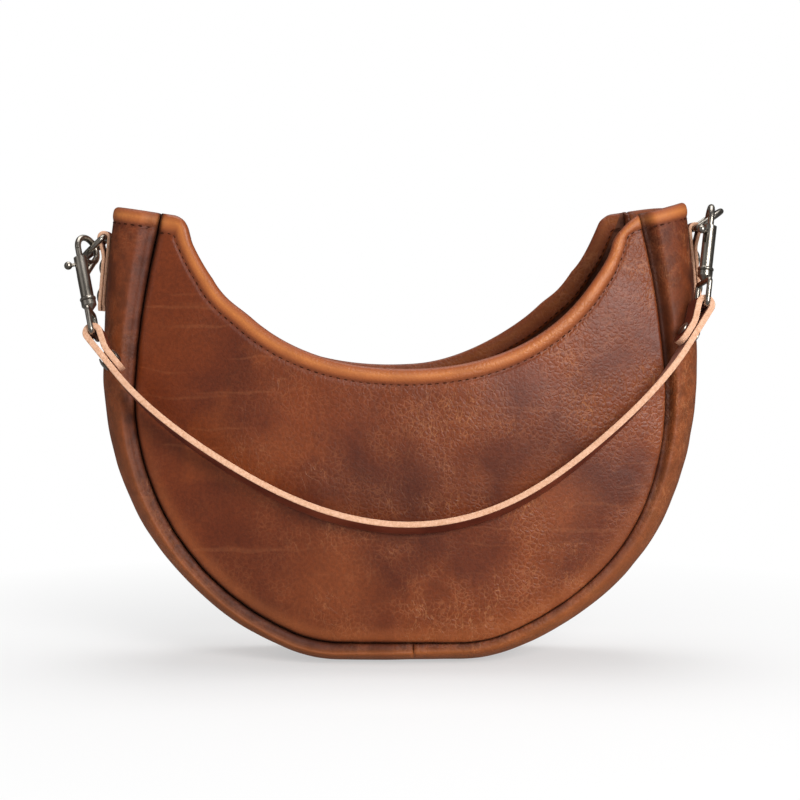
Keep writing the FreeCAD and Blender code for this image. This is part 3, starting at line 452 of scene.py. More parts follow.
class Place:
    """A place along the right gusset's crest; runs below zero lie on the flat base."""

    def __init__(self, run):
        if run <= 0:
            turn = 0.0
            x, z = BASE_HALF + run, 0.0
        elif run <= CORNER_LENGTH:
            turn = run / CORNER
            x, z = BASE_HALF + CORNER * math.sin(turn), CORNER - CORNER * math.cos(turn)
        elif run <= CORNER_LENGTH + ROUND_LENGTH:
            turn = CORNER_TURN + (run - CORNER_LENGTH) / HALF_WIDTH
            x, z = HALF_WIDTH * math.sin(turn), WIDEST - HALF_WIDTH * math.cos(turn)
        else:
            turn = QUARTER + (run - CORNER_LENGTH - ROUND_LENGTH) / HORN_RADIUS
            x = HALF_WIDTH - HORN_RADIUS * (1 - math.sin(turn))
            z = WIDEST - HORN_RADIUS * math.cos(turn)
        share = max(run, 0.0) / CREST_LENGTH
        self.x, self.z = x, z
        self.out = (math.sin(turn), -math.cos(turn))
        self.along = (math.cos(turn), math.sin(turn))
        self.roll = ROLL_BASE + (ROLL_TIP - ROLL_BASE) * share ** 2
        self.flat = (CREST_BASE + (CREST_TIP - CREST_BASE) * share) / 2
        self.depth = panel_depth(*self.inside(self.roll))

    def inside(self, inset):
        """Point in the middle plane at an inset from the crest: (x, z)."""
        return self.x - self.out[0] * inset, self.z - self.out[1] * inset

    def at(self, outward, depth):
        """Point at a distance out from the crest and from the middle plane: (x, y, z)."""
        return self.x + self.out[0] * outward, depth, self.z + self.out[1] * outward


def panel_depth(x, z):
    """Distance of a panel's outer face from the middle plane."""
    above = z - BELLY_HEIGHT
    return BELLY_DEPTH / 2 - BELLY_RADIUS + math.sqrt(BELLY_RADIUS ** 2 - x ** 2 - above ** 2)


HORN_TOP = Place(CREST_LENGTH)
PANEL_TIP = HORN_TOP.inside(ROLL_TIP + SEAM_GAP)
MOUTH_CORNER = HORN_TOP.inside(ROLL_TIP + SEAM_GAP + TIP_WIDTH)
MOUTH_RADIUS = (MOUTH_CORNER[0] ** 2 + MOUTH_DROP ** 2) / (2 * MOUTH_DROP)
MOUTH_CENTRE = MOUTH_CORNER[1] - MOUTH_DROP + MOUTH_RADIUS


def mouth_angle(x, z):
    """Angle from the lowest point of the mouth, seen from the middle of its circle."""
    return math.atan2(x, MOUTH_CENTRE - z)


# Soft shape: how the sewn leather departs from the solids

# The horns give way above this height; how far their backs lean, and how far the right one is raised.
HORN_FOOT = 150.0
LEAN_LEFT, LEAN_RIGHT = 11.0, 2.5
HORN_LIFT = 2.6
# The fuller lower right side: how far it stands out, and its angles from straight down in radians.
FULLNESS, FULL_ANGLE, FULL_SPREAD = 2.5, 0.94, 0.33
# Where the slump sets in and where it is full: behind the middle plane, towards the left, on the
# right horn's outer side, and outwards from the middle of the bag.
BEHIND, LEFTWARDS, OUTER_SIDE, OUTWARDS = (8, 22), (40, -40), (126, 150), (80, 140)
# Radius of the leather at the seam, and where across the bag it goes from open to tight.
TURN_OPEN, TURN_TIGHT = 4.0, 1.8
TIGHTENING = (-70, 80)


def slump(x, y, z):
    """How the soft body hangs: the back of both horns leans to the left, the right horn is
    raised at its back and outer side, and the lower right side is a little fuller."""
    high = min(1.0, max(0.0, (z - HORN_FOOT) / (WIDEST + HORN_RISE - HORN_FOOT)))
    behind = rise(y, *BEHIND)
    left = rise(x, *LEFTWARDS)
    x -= (LEAN_RIGHT + (LEAN_LEFT - LEAN_RIGHT) * left) * behind * high ** 1.5
    outer = rise(x, *OUTER_SIDE)
    z += HORN_LIFT * max((1 - left) * behind, outer) * high ** 2
    angle, radius = math.atan2(x, WIDEST - z), math.hypot(x, WIDEST - z)
    full = FULLNESS * math.exp(-((angle - FULL_ANGLE) / FULL_SPREAD) ** 2) * rise(radius, *OUTWARDS)
    return x + full * math.sin(angle), y, max(z - full * math.cos(angle), 0.0)


def seam_turn(side_x):
    """Radius of the leather at the seam: open on the left, tight on the right."""
    return TURN_OPEN - (TURN_OPEN - TURN_TIGHT) * rise(side_x, *TIGHTENING)


def hemmed_rows(start, end, step):
    """Places up to an end with a turned hem: even ones, closer ones on the hem and its round rim."""
    even = np.arange(start, end - HEM_WIDTH - 0.6, step)
    hem = np.linspace(end - HEM_WIDTH - 0.5, end - LEATHER, 9)
    rim = [end - LEATHER * (1 - math.sin(a)) for a in np.linspace(0, QUARTER, 6)[1:]]
    return np.concatenate((even, hem, rim))


def rim_reach(top):
    """How far a face draws in where the rim of the hem is round."""
    fold = max(0.0, LEATHER - top) / LEATHER
    return LEATHER * (1 - math.sqrt(max(0.0, 1 - fold ** 2)))


def hem_padding(edge, puff, dent, width):
    """Swell of a hem at a distance from its edge: padded up to the stitches, which sink in."""
    swell = puff * math.sin(math.pi * max(0.0, edge) / STITCH_INSET) if edge < STITCH_INSET else 0.0
    return swell - dent * math.exp(-((edge - STITCH_INSET) / width) ** 2)


# Gusset halves

GUSSET_STEP = 2.0
LIP_ZONE = 2.0
# Waves of the roll (height, period, seed), and puckers beside the seam.
GUSSET_WAVES = ((0.7, 34, 1), (0.35, 13, 2))
GUSSET_PUCKER = 0.8
# Folds in the right horn: their height, how far below its top they are, and how far they spread.
RIGHT_DRAPE, DRAPE_DROP, DRAPE_SPREAD = 1.4, 30, 26
# Hem: height of its padding, and depth and width of the stitches' dent.
GUSSET_HEM = (0.7, 0.45, 1.0)
# How far the gusset lies back from the front panel: on the left, and low and high on the right,
# with the heights between which it deepens there.
RECESS_LEFT, RECESS_LOW, RECESS_HIGH = 2.0, 1.0, 5.0
DEEPENING = (60, 150)
# The roll lies flat under the tab, this far to each side and down from the horn top, and swells
# again over these widths beside and below it.
TAB_BED_HALF, TAB_BED_LENGTH = 7.0, 66.0
BESIDE_TAB, BELOW_TAB = 4, 10
# Towards the base the crest is rubbed to orange: how much, and how far up the side.
RUBBED_CREST, RUBBED_RUN = 0.55, 300


def arch(place, inset, turn):
    """Section of the gusset at an inset from its outer face: (outward, depth, zone) points.

    The zone is LIP_ZONE on the seam allowance, 1 to 0.5 round the seam's turn, and falls to 0
    on the roll towards the crest."""
    roll, flat, depth = place.roll, place.flat, place.depth
    lip = depth - turn - SEAM_ALLOWANCE
    half = []
    for share in np.linspace(0, 1, 4, endpoint=False):
        half.append((inset - roll, lip + (depth - turn - lip) * share, LIP_ZONE))
    bend = max(0.2, turn - inset)
    for angle in np.linspace(0, QUARTER, 5, endpoint=False):
        half.append((turn - roll - bend * math.cos(angle), depth - turn + bend * math.sin(angle),
                     1.0 - 0.5 * angle / QUARTER))
    for angle in QUARTER * np.linspace(0, 1, 24, endpoint=False) ** 1.3:
        half.append((turn - roll + (roll - turn - inset) * math.sin(angle),
                     flat + (depth - flat - inset) * math.cos(angle),
                     max(0.0, 0.5 - angle / QUARTER * 1.6)))
    for share in np.linspace(0, 1, 6):
        half.append((-inset, flat * (1 - share), 0.0))
    front = [(out, -deep, zone) for out, deep, zone in half]
    return front + [(out, deep, zone) for out, deep, zone in reversed(half[:-1])]


def gusset_soften(x, y, z, run, zone):
    """How far the leather of the roll swells or, below zero, sinks; it lies flat under the tab."""
    swell = waves(x, y, z, GUSSET_WAVES)
    beside_seam = math.exp(-((zone - 0.4) / 0.25) ** 2)
    pucker = GUSSET_PUCKER * max(0.0, wave(run, 0.25 * y, 0, 7.5, 3)) * beside_seam
    top = CREST_LENGTH - run
    drape = 0.0
    if x > 0:
        near = max(0.0, 1 - abs(top - DRAPE_DROP) / DRAPE_SPREAD)
        drape = RIGHT_DRAPE * wave(x * 0.4, y, z, 9, 4) * near
    across = max(0.0, 1 - max(0.0, abs(y) - TAB_BED_HALF) / BESIDE_TAB)
    below = max(0.0, 1 - max(0.0, top - TAB_BED_LENGTH) / BELOW_TAB)
    return (min(swell, 0.5) - pucker + min(drape, 0.2)) * (1 - across * below)


def gusset_recess(side, y, z):
    """How far the gusset lies back from the front panel beside their seam."""
    if y >= 0:
        return 0.0
    if side < 0:
        return RECESS_LEFT
    return RECESS_LOW + (RECESS_HIGH - RECESS_LOW) * rise(z, *DEEPENING)


def gusset_point(side, place, run, spot, padding):
    """Where a point of the gusset's section lies on the soft bag."""
    out, deep, zone = spot
    x, y, z = place.at(out, deep)
    recess = gusset_recess(side, y, z)
    if zone == LIP_ZONE:
        turned = place.depth - seam_turn(side * place.x) - abs(deep)
        y += recess * (1 - turned / SEAM_ALLOWANCE)
        soft = 0.0
    else:
        y += recess * rise(zone, 0.2, 0.5)
        soft = gusset_soften(side * x, y, z, run, zone)
        if abs(y) >= TAB_BED_HALF + 2:
            soft += padding
    centre = place.at(min(out, -place.roll * 0.6), deep * 0.6)
    push = np.array((x, y, z)) - np.array(centre)
    push /= max(1e-6, np.linalg.norm(push))
    x, y, z = np.array((x, y, z)) + push * soft
    return slump(side * x, y, z)


def build_gusset(name, side):
    """One half of the gusset from the base seam to its hem at the horn top."""
    runs = hemmed_rows(side * BASE_SEAM - BASE_HALF, CREST_LENGTH, GUSSET_STEP)
    points, hems, bands, seam_shades, flesh = [], [], [], [], []
    for run in runs:
        place = Place(run)
        top = CREST_LENGTH - run
        reach = rim_reach(top)
        turn = seam_turn(side * place.x)
        on_hem = top < HEM_WIDTH
        outer = arch(place, reach, turn)
        inner = arch(place, (2 * LEATHER if on_hem else LEATHER) - reach, turn)
        padding = hem_padding(top, *GUSSET_HEM)
        band = 1 / (1 + math.exp((top - STITCH_INSET) / 0.5))
        rubbed = RUBBED_CREST * max(0.0, 1 - max(run, 0) / RUBBED_RUN)
        for ring, is_inner in ((outer, False), (list(reversed(inner)), True)):
            for spot in ring:
                out, deep, zone = spot
                points.append(gusset_point(side, place, run, spot, 0.0 if is_inner else padding))
                wear_and_light = max(band, rubbed * rise(zone, 0.7, 0.2))
                hems.append(wear_and_light if not is_inner else (0.55 if on_hem else 0.0))
                bands.append(min(1.0, top / STITCH_INSET) if top < 12 else 0.55)
                # Painted shade: the seam allowance, the turn into the seam and the wedge where the gusset
                # lies back from the front panel are darkened, as the groove's shadow.
                wedge_shade = 0.13 * gusset_recess(side, *place.at(out, deep)[1:]) * rise(zone, 0.26, 0.5)
                seam_shades.append(0.3 if zone == LIP_ZONE else max(wedge_shade, rise(zone, 0.62, 0.92)))
                flesh.append(is_inner and not on_hem)
    columns = len(points) // len(runs)
    faces = wrap_faces(len(runs), columns)
    faces.append(tuple(range(columns)))
    slots = [1 if all(flesh[corner] for corner in quad[:4]) else 0 for quad in faces]
    marks = {"hem": hems, "band": bands, "seam_shade": seam_shades, "roll": np.ones(len(points))}
    return clean(make_piece(name, points, faces, [HIDE, FLESH], slots, marks))


# Panels

# Stretches of a panel's section.
OUTER, TURNED, LIP, INNER, UNDER_HEM = range(5)
# How far the soft rims lean to the right, and the radii at the left and right tips.
RIM_SHIFT = {"front": 3.2, "back": -5.5}
TIP_ROUND = {"front": (6.0, 9.0), "back": (5.0, 5.0)}
PANEL_STEP = 1.9
LIP_ROW = 3.5  # a row of points this far before the end of the seam allowance
# Waves of the panels (height, period, seed), which the seam holds down this far in.
PANEL_WAVES = ((1.5, 70, 11), (0.5, 26, 12))
SEAM_HOLD = 25
# Puckers along the seam: height and reach. Creases: depth, and share of the noise that they take up.
PANEL_PUCKER, PUCKER_REACH = 0.7, 9
PANEL_CREASE, CREASE_SHARE = 0.45, 0.06
# Hem: height of its padding, and depth and width of the stitches' dent.
PANEL_HEM = (0.8, 0.6, 1.1)
# The front panel's right tip droops: how far, and over what width and height of it.
TIP_DROOP, DROOP_WIDTH, DROOP_HEIGHT = 6.5, 15, 45
# The soft rims hang below the solids': how far, and from where to where across the bag. The front
# one is a little higher all along, and the back one on the right of its middle.
RIM_DROPS = {"front": ((5, -78, -98), (2, 92, 106)), "back": ((4.2, -50, -95), (2.5, 92, 104))}
FRONT_LIFT, BACK_LIFT, BACK_LIFT_FROM, BACK_LIFT_TO = 0.5, 4, (15, 70), (95, 80)
# The horns hold the rims up over this distance from the tips.
TIP_HOLD = {"front": 12, "back": 40}
# Towards the base the leather beside the seam is rubbed to orange: how much, and between what heights.
RUBBED_SEAM, RUBBED_HEIGHTS = 0.4, (150, 30)


def panel_line(along):
    """Rim point, seam point and their distance for a place along the seam, left tip to right tip."""
    side = 1 if along >= 0 else -1
    place = Place(abs(along) - BASE_HALF)
    x, z = place.inside(place.roll + SEAM_GAP)
    turn = mouth_angle(x, z) * mouth_angle(*MOUTH_CORNER) / mouth_angle(*PANEL_TIP)
    share = turn / mouth_angle(*MOUTH_CORNER)
    # This cubic is 1 at its highest, so that MOUTH_SAG is the deepest sag.
    sag = MOUTH_SAG * 27 / 4 * share ** 2 * (1 - share)
    rim = (side * MOUTH_RADIUS * math.sin(turn), MOUTH_CENTRE - MOUTH_RADIUS * math.cos(turn) - sag)
    seam = (side * x, z)
    return rim, seam, float(np.linalg.norm(np.subtract(seam, rim)))


def panel_profile(length, turn):
    """Closed section from rim to seam and back inside: (run, inward, stretch) points."""
    straight = length - turn
    lip = turn + SEAM_ALLOWANCE
    dense, hem = min(12.0, 0.85 * straight), min(HEM_WIDTH, straight - 1)
    outer = [(LEATHER * (1 - math.cos(a)), LEATHER * (1 - math.sin(a)), OUTER)
             for a in np.linspace(0, QUARTER, 6)]
    outer += [(run, 0.0, OUTER) for run in np.linspace(LEATHER, dense, 13)[1:]]
    share = np.linspace(0, 1, 46)[1:]
    outer += [(dense + (straight - dense) * s, 0.0, OUTER) for s in 1 - (1 - share) ** 1.15]
    turned = [(straight + turn * math.sin(a), turn * (1 - math.cos(a)), TURNED)
              for a in np.linspace(0, QUARTER, 6)[1:]]
    turned += [(length, lip - LIP_ROW, LIP), (length, lip, LIP)]
    turned += [(length - LEATHER, lip, LIP), (length - LEATHER, lip - LIP_ROW, LIP)]
    small = max(0.2, turn - LEATHER)
    turned += [(straight + small * math.sin(a), LEATHER + small * (1 - math.cos(a)), INNER)
               for a in np.linspace(QUARTER, 0, 4)]
    step = hem + 0.4
    inner = [(step + (straight - step) * s, LEATHER, INNER) for s in np.linspace(1, 0, 24)[1:]]
    inner += [(run, 2 * LEATHER, UNDER_HEM) for run in np.linspace(hem, LEATHER, 6)]
    inner += [(LEATHER * (1 - math.sin(a)), LEATHER * (1 + math.cos(a)), UNDER_HEM)
              for a in np.linspace(0, QUARTER, 6)[1:-1]]
    return outer + turned + inner


def panel_soften(x, z, seam_gap, along):
    """Outward swell of the panel's leather: broad waves, puckers along the seam, and creases."""
    swell = waves(x, 0, z, PANEL_WAVES) * min(1.0, seam_gap / SEAM_HOLD)
    pucker = PANEL_PUCKER * wave(along, 0, 0, 9, 13) * math.exp(-(seam_gap / PUCKER_REACH) ** 2)
    crease = PANEL_CREASE * max(0.0, 1 - abs(wave(x * 0.35, 0, z, 16, 14)) / CREASE_SHARE)
    return swell + pucker - crease * max(0.0, wave(x, 0, z, 45, 15))


def rim_drop(face, x):
    """How far a soft rim hangs below the solid's: most of all beside the horns."""
    drop = sum(depth * rise(x, start, end) for depth, start, end in RIM_DROPS[face])
    if face == "front":
        return drop - FRONT_LIFT
    return drop - BACK_LIFT * rise(x, *BACK_LIFT_FROM) * rise(x, *BACK_LIFT_TO)


def panel_point(face, along, place, inward, outside):
    """Place on a panel: along the seam, from the rim towards the seam, and in from the outer face."""
    top = PANEL_HALF - abs(along)
    edge = min(place, top)
    # The corner between the mouth and the short top edge is cut round.
    radius = TIP_ROUND[face][0 if along < 0 else 1]
    if top < radius and place < radius:
        square = max(radius - top, radius - place) / max(1e-6, math.hypot(radius - top, radius - place))
        place = radius - (radius - place) * square
        along = math.copysign(PANEL_HALF - radius + (radius - top) * square, along)
    rim, seam, length = panel_line(along)
    x = rim[0] + (seam[0] - rim[0]) / length * place
    z = rim[1] + (seam[1] - rim[1]) / length * place
    soft = panel_soften(x, z, max(0.0, length - place), along)
    if outside:
        soft += hem_padding(edge, *PANEL_HEM)
    depth = panel_depth(x, z) - inward + soft
    # The front panel's right tip droops, and both rims hang and lean.
    if face == "front" and along > 0:
        z -= TIP_DROOP * rise(place, DROOP_WIDTH, 0) * rise(top, DROOP_HEIGHT, 0)
    near_rim = max(0.0, 1 - place / max(length, 60.0)) ** 1.5
    z -= rim_drop(face, rim[0]) * near_rim * rise(top, 0, TIP_HOLD[face])
    x += RIM_SHIFT[face] * near_rim * min(1.0, top / 40, (length - place) / 12)
    return slump(x, -depth if face == "front" else depth, z)


def build_panel(name, face):
    """Panel from tip to tip, with its hem along the mouth and its seam allowance turned in."""
    right = hemmed_rows(0, PANEL_HALF, PANEL_STEP)
    rows = np.concatenate((-right[:0:-1], right))
    points, hems, bands, seam_shades, stretches = [], [], [], [], []
    for along in rows:
        _, seam, length = panel_line(along)
        top = PANEL_HALF - abs(along)
        reach = rim_reach(top)
        turn = seam_turn(seam[0])
        rubbed = RUBBED_SEAM * rise(seam[1], *RUBBED_HEIGHTS)
        for place, inward, stretch in panel_profile(length, turn):
            edge = min(place, top)
            gap = max(0.0, length - place)
            outside = stretch in (OUTER, TURNED)
            if stretch in (INNER, UNDER_HEM):
                if top < HEM_WIDTH and gap > turn:
                    inward = max(inward, 2 * LEATHER)
                inward = min(inward, 2 * LEATHER - reach)
            if stretch == OUTER:
                inward = max(inward, reach)
            points.append(panel_point(face, along, place, inward, outside))
            if outside:
                band = 1 / (1 + math.exp((edge - STITCH_INSET - 0.2) / 0.45))
                hems.append(max(band, rubbed * math.exp(-((gap - 4) / 4) ** 2)))
                # Painted shade on the outer face where it turns into the seam groove.
                seam_shades.append(rise(gap, 0.55 * turn, 0.05 * turn))
            else:
                hems.append(0.25 if stretch == UNDER_HEM else 0.0)
                # Painted shade on the seam allowance seen in the groove.
                seam_shades.append(0.35 if stretch == LIP else 0.0)
            bands.append(min(1.0, max(0.0, edge / STITCH_INSET)) if edge < 12 else 0.7)
            stretches.append(stretch)
    columns = len(points) // len(rows)
    faces = wrap_faces(len(rows), columns)
    slots = [1 if stretches[quad[0]] == stretches[quad[1]] == INNER else 0 for quad in faces]
    faces += [tuple(range(columns)), tuple(range(len(points) - columns, len(points)))]
    slots += [0, 0]
    marks = {"hem": hems, "band": bands, "seam_shade": seam_shades}
    return clean(make_piece(name, points, faces, [HIDE, FLESH], slots, marks))


def settle(piece, node, body):
    """Put a dressed piece in place of its solid."""
    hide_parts(node)
    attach(piece, body)


for face in ("front", "back"):
    settle(build_panel(face + "_skin", face), face + "_panel", "bag")
for word, side in SIDES.items():
    settle(build_gusset("gusset_roll_" + word, side), "gusset_" + word, "bag")


# Strips of leather folded round a bar

# Material slots of a strip.
GRAIN_SIDE, FLESH_SIDE, CUT_EDGE = range(3)
STRIP_FINISHES = [GRAIN, STRAP_FLESH, EDGE]
EDGE_ROUND = 0.55
# Closer rows at the short end, which is cut round.
END_STEPS = (0, 0.4, 1, 1.8, 2.8, 4, 5.5)
BEND = 2.5


def fold_path(bar, wall, merge, length, short):
    """Middle line of a fold in the bar's frame, from the short end round to the long layer."""
    lean = 2 * math.atan(merge / bar) - QUARTER
    radius = bar + wall / 2
    level = wall / 2 - bar
    slope = np.array((math.sin(lean), -math.cos(lean)))
    touch = radius * np.array((math.cos(lean), math.sin(lean)))
    corner = touch + slope * (touch[1] - level) / math.cos(lean)
    flat = [(short - step, level) for step in END_STEPS]
    flat += [(x, level) for x in np.linspace(short - 7, corner[0] + BEND, 6)]
    bend = [(1 - t) ** 2 * np.array((corner[0] + BEND, level)) + 2 * t * (1 - t) * corner
            + t ** 2 * (corner - slope * BEND) for t in np.linspace(0, 1, 7)[1:]]
    down = [bend[-1] * (1 - t) + touch * t for t in np.linspace(0, 1, 4)[1:]]
    turn = [(radius * math.cos(a), radius * math.sin(a)) for a in np.linspace(lean, 3 * QUARTER, 22)[1:]]
    run = [(x, -radius) for x in np.linspace(0, length, 10)[1:]]
    return np.array(flat + [tuple(p) for p in bend] + [tuple(p) for p in down] + turn + run)


def smooth_path(points, first, last, count):
    """Curve through the points that leaves and arrives in the given directions."""
    points = np.array(points)
    gaps = np.linalg.norm(np.diff(points, axis=0), axis=1)
    stops = np.concatenate(([0.0], np.cumsum(gaps)))
    size = len(points)
    system, known = np.eye(size), np.zeros((size, 3))
    known[0], known[-1] = first, last
    for i in range(1, size - 1):
        a, b = gaps[i - 1], gaps[i]
        system[i, i - 1:i + 2] = (b, 2 * (a + b), a)
        known[i] = 3 * (b * (points[i] - points[i - 1]) / a + a * (points[i + 1] - points[i]) / b)
    slopes = np.linalg.solve(system, known)
    made = []
    for stop in np.linspace(0, stops[-1], count):
        i = min(int(np.searchsorted(stops, stop, "right")) - 1, size - 2)
        t, gap = (stop - stops[i]) / gaps[i], gaps[i]
        made.append(points[i] * (1 + 2 * t) * (1 - t) ** 2 + slopes[i] * gap * t * (1 - t) ** 2
                    + points[i + 1] * t ** 2 * (3 - 2 * t) + slopes[i + 1] * gap * t ** 2 * (t - 1))
    return np.array(made)


def strip_section(width, thick):
    """Rectangle with rounded edges: (across, through, material slot) points."""
    soft = EDGE_ROUND
    a, b = width / 2, thick / 2
    made = []
    for sign, flat in ((1, GRAIN_SIDE), (-1, FLESH_SIDE)):
        made += [(sign * x, sign * b, flat) for x in np.linspace(soft - a, a - soft, 5)]
        made += [(sign * (a - soft + soft * math.sin(t)), sign * (b - soft + soft * math.cos(t)), CUT_EDGE)
                 for t in np.linspace(0, QUARTER, 4)[1:]]
        made += [(sign * a, sign * y, CUT_EDGE) for y in np.linspace(b - soft, soft - b, 3)[1:]]
        made += [(sign * (a - soft + soft * math.cos(t)), -sign * (b - soft + soft * math.sin(t)), CUT_EDGE)
                 for t in np.linspace(0, QUARTER, 4)[1:-1]]
    return made


def leather_strip(name, path, fronts, width, thick, end_radius):
    """Strip of leather along a path; its grain side is to the right of its heading and front."""
    section = strip_section(width, thick)
    headings = np.gradient(path, axis=0)
    runs = np.concatenate(([0.0], np.cumsum(np.linalg.norm(np.diff(path, axis=0), axis=1))))
    points = []
    for spot, heading, front, run in zip(path, headings, fronts, runs):
        heading = unit(heading)
        front = unit(front - heading * np.dot(front, heading))
        normal = np.cross(heading, front)
        narrow = 0.0
        room = min(run, runs[-1] - run)
        if room < end_radius:
            narrow = end_radius - math.sqrt(max(0.0, end_radius ** 2 - (end_radius - room) ** 2))
        scale = 1 - narrow / (width / 2) + 0.012 * wave(run, 0, 0, 11, 21)
        points += [spot + front * across * scale + normal * through for across, through, _ in section]
    columns = len(section)
    faces = wrap_faces(len(path), columns)
    sides = [side for _, _, side in section]
    slots = [max(sides[i % columns], sides[(i + 1) % columns]) for i in range(len(faces))]
    faces += [tuple(range(columns)), tuple(range(len(points) - columns, len(points)))]
    slots += [CUT_EDGE, CUT_EDGE]
    return clean(make_piece(name, points, faces, STRIP_FINISHES, slots))


# Strap

STRAP_WIDTH, STRAP_LEATHER = 13.0, 3.6
STRAP_FOLD, STRAP_END, STRAP_MERGE = 26.0, 23.0, 10.0
STRAP_SAG = 2.6
STRAP_PARED = 0.5  # the leather is thinner than the solid by this much
STRAP_END_RADIUS = 5.0
EYE_DROP = 18.6
EYE_WIRE, EYE_FIT = 2.8, 0.3
EYE_BAR = EYE_WIRE / 2 + EYE_FIT
# The strap's lowest point, how far it clears the belly there and how it is tipped.
LOW_SIDE, LOW_HEIGHT, LOW_ROOM = 7.0, 75.0, 1.5
TIP = math.radians(24)
LOW_DEPTH = panel_depth(LOW_SIDE, LOW_HEIGHT) + LOW_ROOM + STRAP_WIDTH / 2 * math.cos(TIP)
LOW = np.array((LOW_SIDE, -LOW_DEPTH, LOW_HEIGHT))
# The band keeps its depth from the low point until near an eye: a power of the share of its way.
SPREAD = 5
KNOTS = (0.66, 0.33)


class StrapEnd:
    """A folded end of the strap: its eye, heading, front and upper side, and where the band starts."""

    def __init__(self, word):
        swivel = JOINTS["swivel_" + word]
        down = -np.array(swivel["axis"])
        self.eye = np.array(swivel["pos_m"]) / MM + down * EYE_DROP
        across, deep, above = self.eye - LOW
        heading = unit(np.array((1, SPREAD * deep / across, 2 * above / across)))
        self.heading = heading * math.copysign(1, -across)
        front = unit(np.cross(down, self.heading))
        self.front = front * math.copysign(1, -front[1])
        upper = np.cross(self.front, self.heading)
        self.upper = upper * math.copysign(1, upper[2])
        self.start = self.eye + self.heading * STRAP_FOLD - self.upper * (EYE_BAR + STRAP_LEATHER / 2)

    def fold(self):
        """Middle line of the fold round the eye, from the short end to where the band starts."""
        line = fold_path(EYE_BAR, STRAP_LEATHER, STRAP_MERGE, STRAP_FOLD, STRAP_END)
        return [self.eye + self.heading * x + self.upper * y for x, y in line]

    def hang(self, share):
        """Place on the hanging band, from the low point to where the band starts."""
        return LOW + (self.start - LOW) * np.array((share, share ** SPREAD, share ** 2))


def build_strap():
    """Strap from the left fold along the hanging band to the right fold."""
    left, right = StrapEnd("left"), StrapEnd("right")
    knots = [left.start] + [left.hang(share) for share in KNOTS] + [LOW]
    knots += [right.hang(share) for share in reversed(KNOTS)] + [right.start]
    band = smooth_path(knots, left.heading, -right.heading, 150)
    band[:, 2] -= STRAP_SAG * np.sin(np.linspace(0, math.pi, len(band))) ** 2
    left_fold, right_fold = left.fold()[:-1], right.fold()[-2::-1]
    path = np.array(left_fold + list(band) + right_fold)
    # The band is tipped along its middle and turns to the folds' fronts near its ends.
    low_front = np.array((0, -math.cos(TIP), math.sin(TIP)))
    fronts = [left.front] * len(left_fold)
    for share in np.linspace(0, 1, len(band)):
        weight = (2 * share - 1) ** 4
        end = left if share < 0.5 else right
        fronts.append(end.front * weight + low_front * (1 - weight))
    fronts += [right.front] * len(right_fold)
    return leather_strip("strap_leather_strip", path, fronts, STRAP_WIDTH, STRAP_LEATHER - STRAP_PARED,
                         STRAP_END_RADIUS)


# Ring tabs

RING_WIRE, RING_FIT = 3.0, 0.08
RING_BAR = RING_WIRE / 2 + RING_FIT
TAB_WIDTH, TAB_LEATHER, TAB_LENGTH, TAB_MERGE, TAB_GAP = 12.0, 2.0, 38.0, 9.0, 0.25
TAB_TRIMMED, TAB_PARED = 0.4, 0.3  # the leather is narrower and thinner than the solid by this much
TAB_END_RADIUS = 4.0
BAR_DROP = {"left": 16.3, "right": 11.8}


def build_tab(word):
    """Tab folded round the bar of a ring, both layers on the gusset."""
    side = SIDES[word]
    middle = Place(CREST_LENGTH - BAR_DROP[word] - TAB_LENGTH / 2)
    out = np.array((side * middle.out[0], 0, middle.out[1]))
    down = -np.array((side * middle.along[0], 0, middle.along[1]))
    bar = np.array((side * middle.x, 0, middle.z)) - down * (TAB_LENGTH / 2)
    bar += out * (TAB_GAP + TAB_LEATHER + RING_BAR)
    fold = fold_path(RING_BAR, TAB_LEATHER, TAB_MERGE, TAB_LENGTH, TAB_LENGTH)
    path = np.array([bar + down * x + out * y for x, y in fold])
    fronts = [np.cross(down, out)] * len(path)
    return leather_strip("ring_tab_" + word, path, fronts, TAB_WIDTH - TAB_TRIMMED, TAB_LEATHER - TAB_PARED,
                         TAB_END_RADIUS)


settle(build_strap(), "strap", "strap")
for word in SIDES:
    settle(build_tab(word), "tab_" + word, "bag")


# Stitching

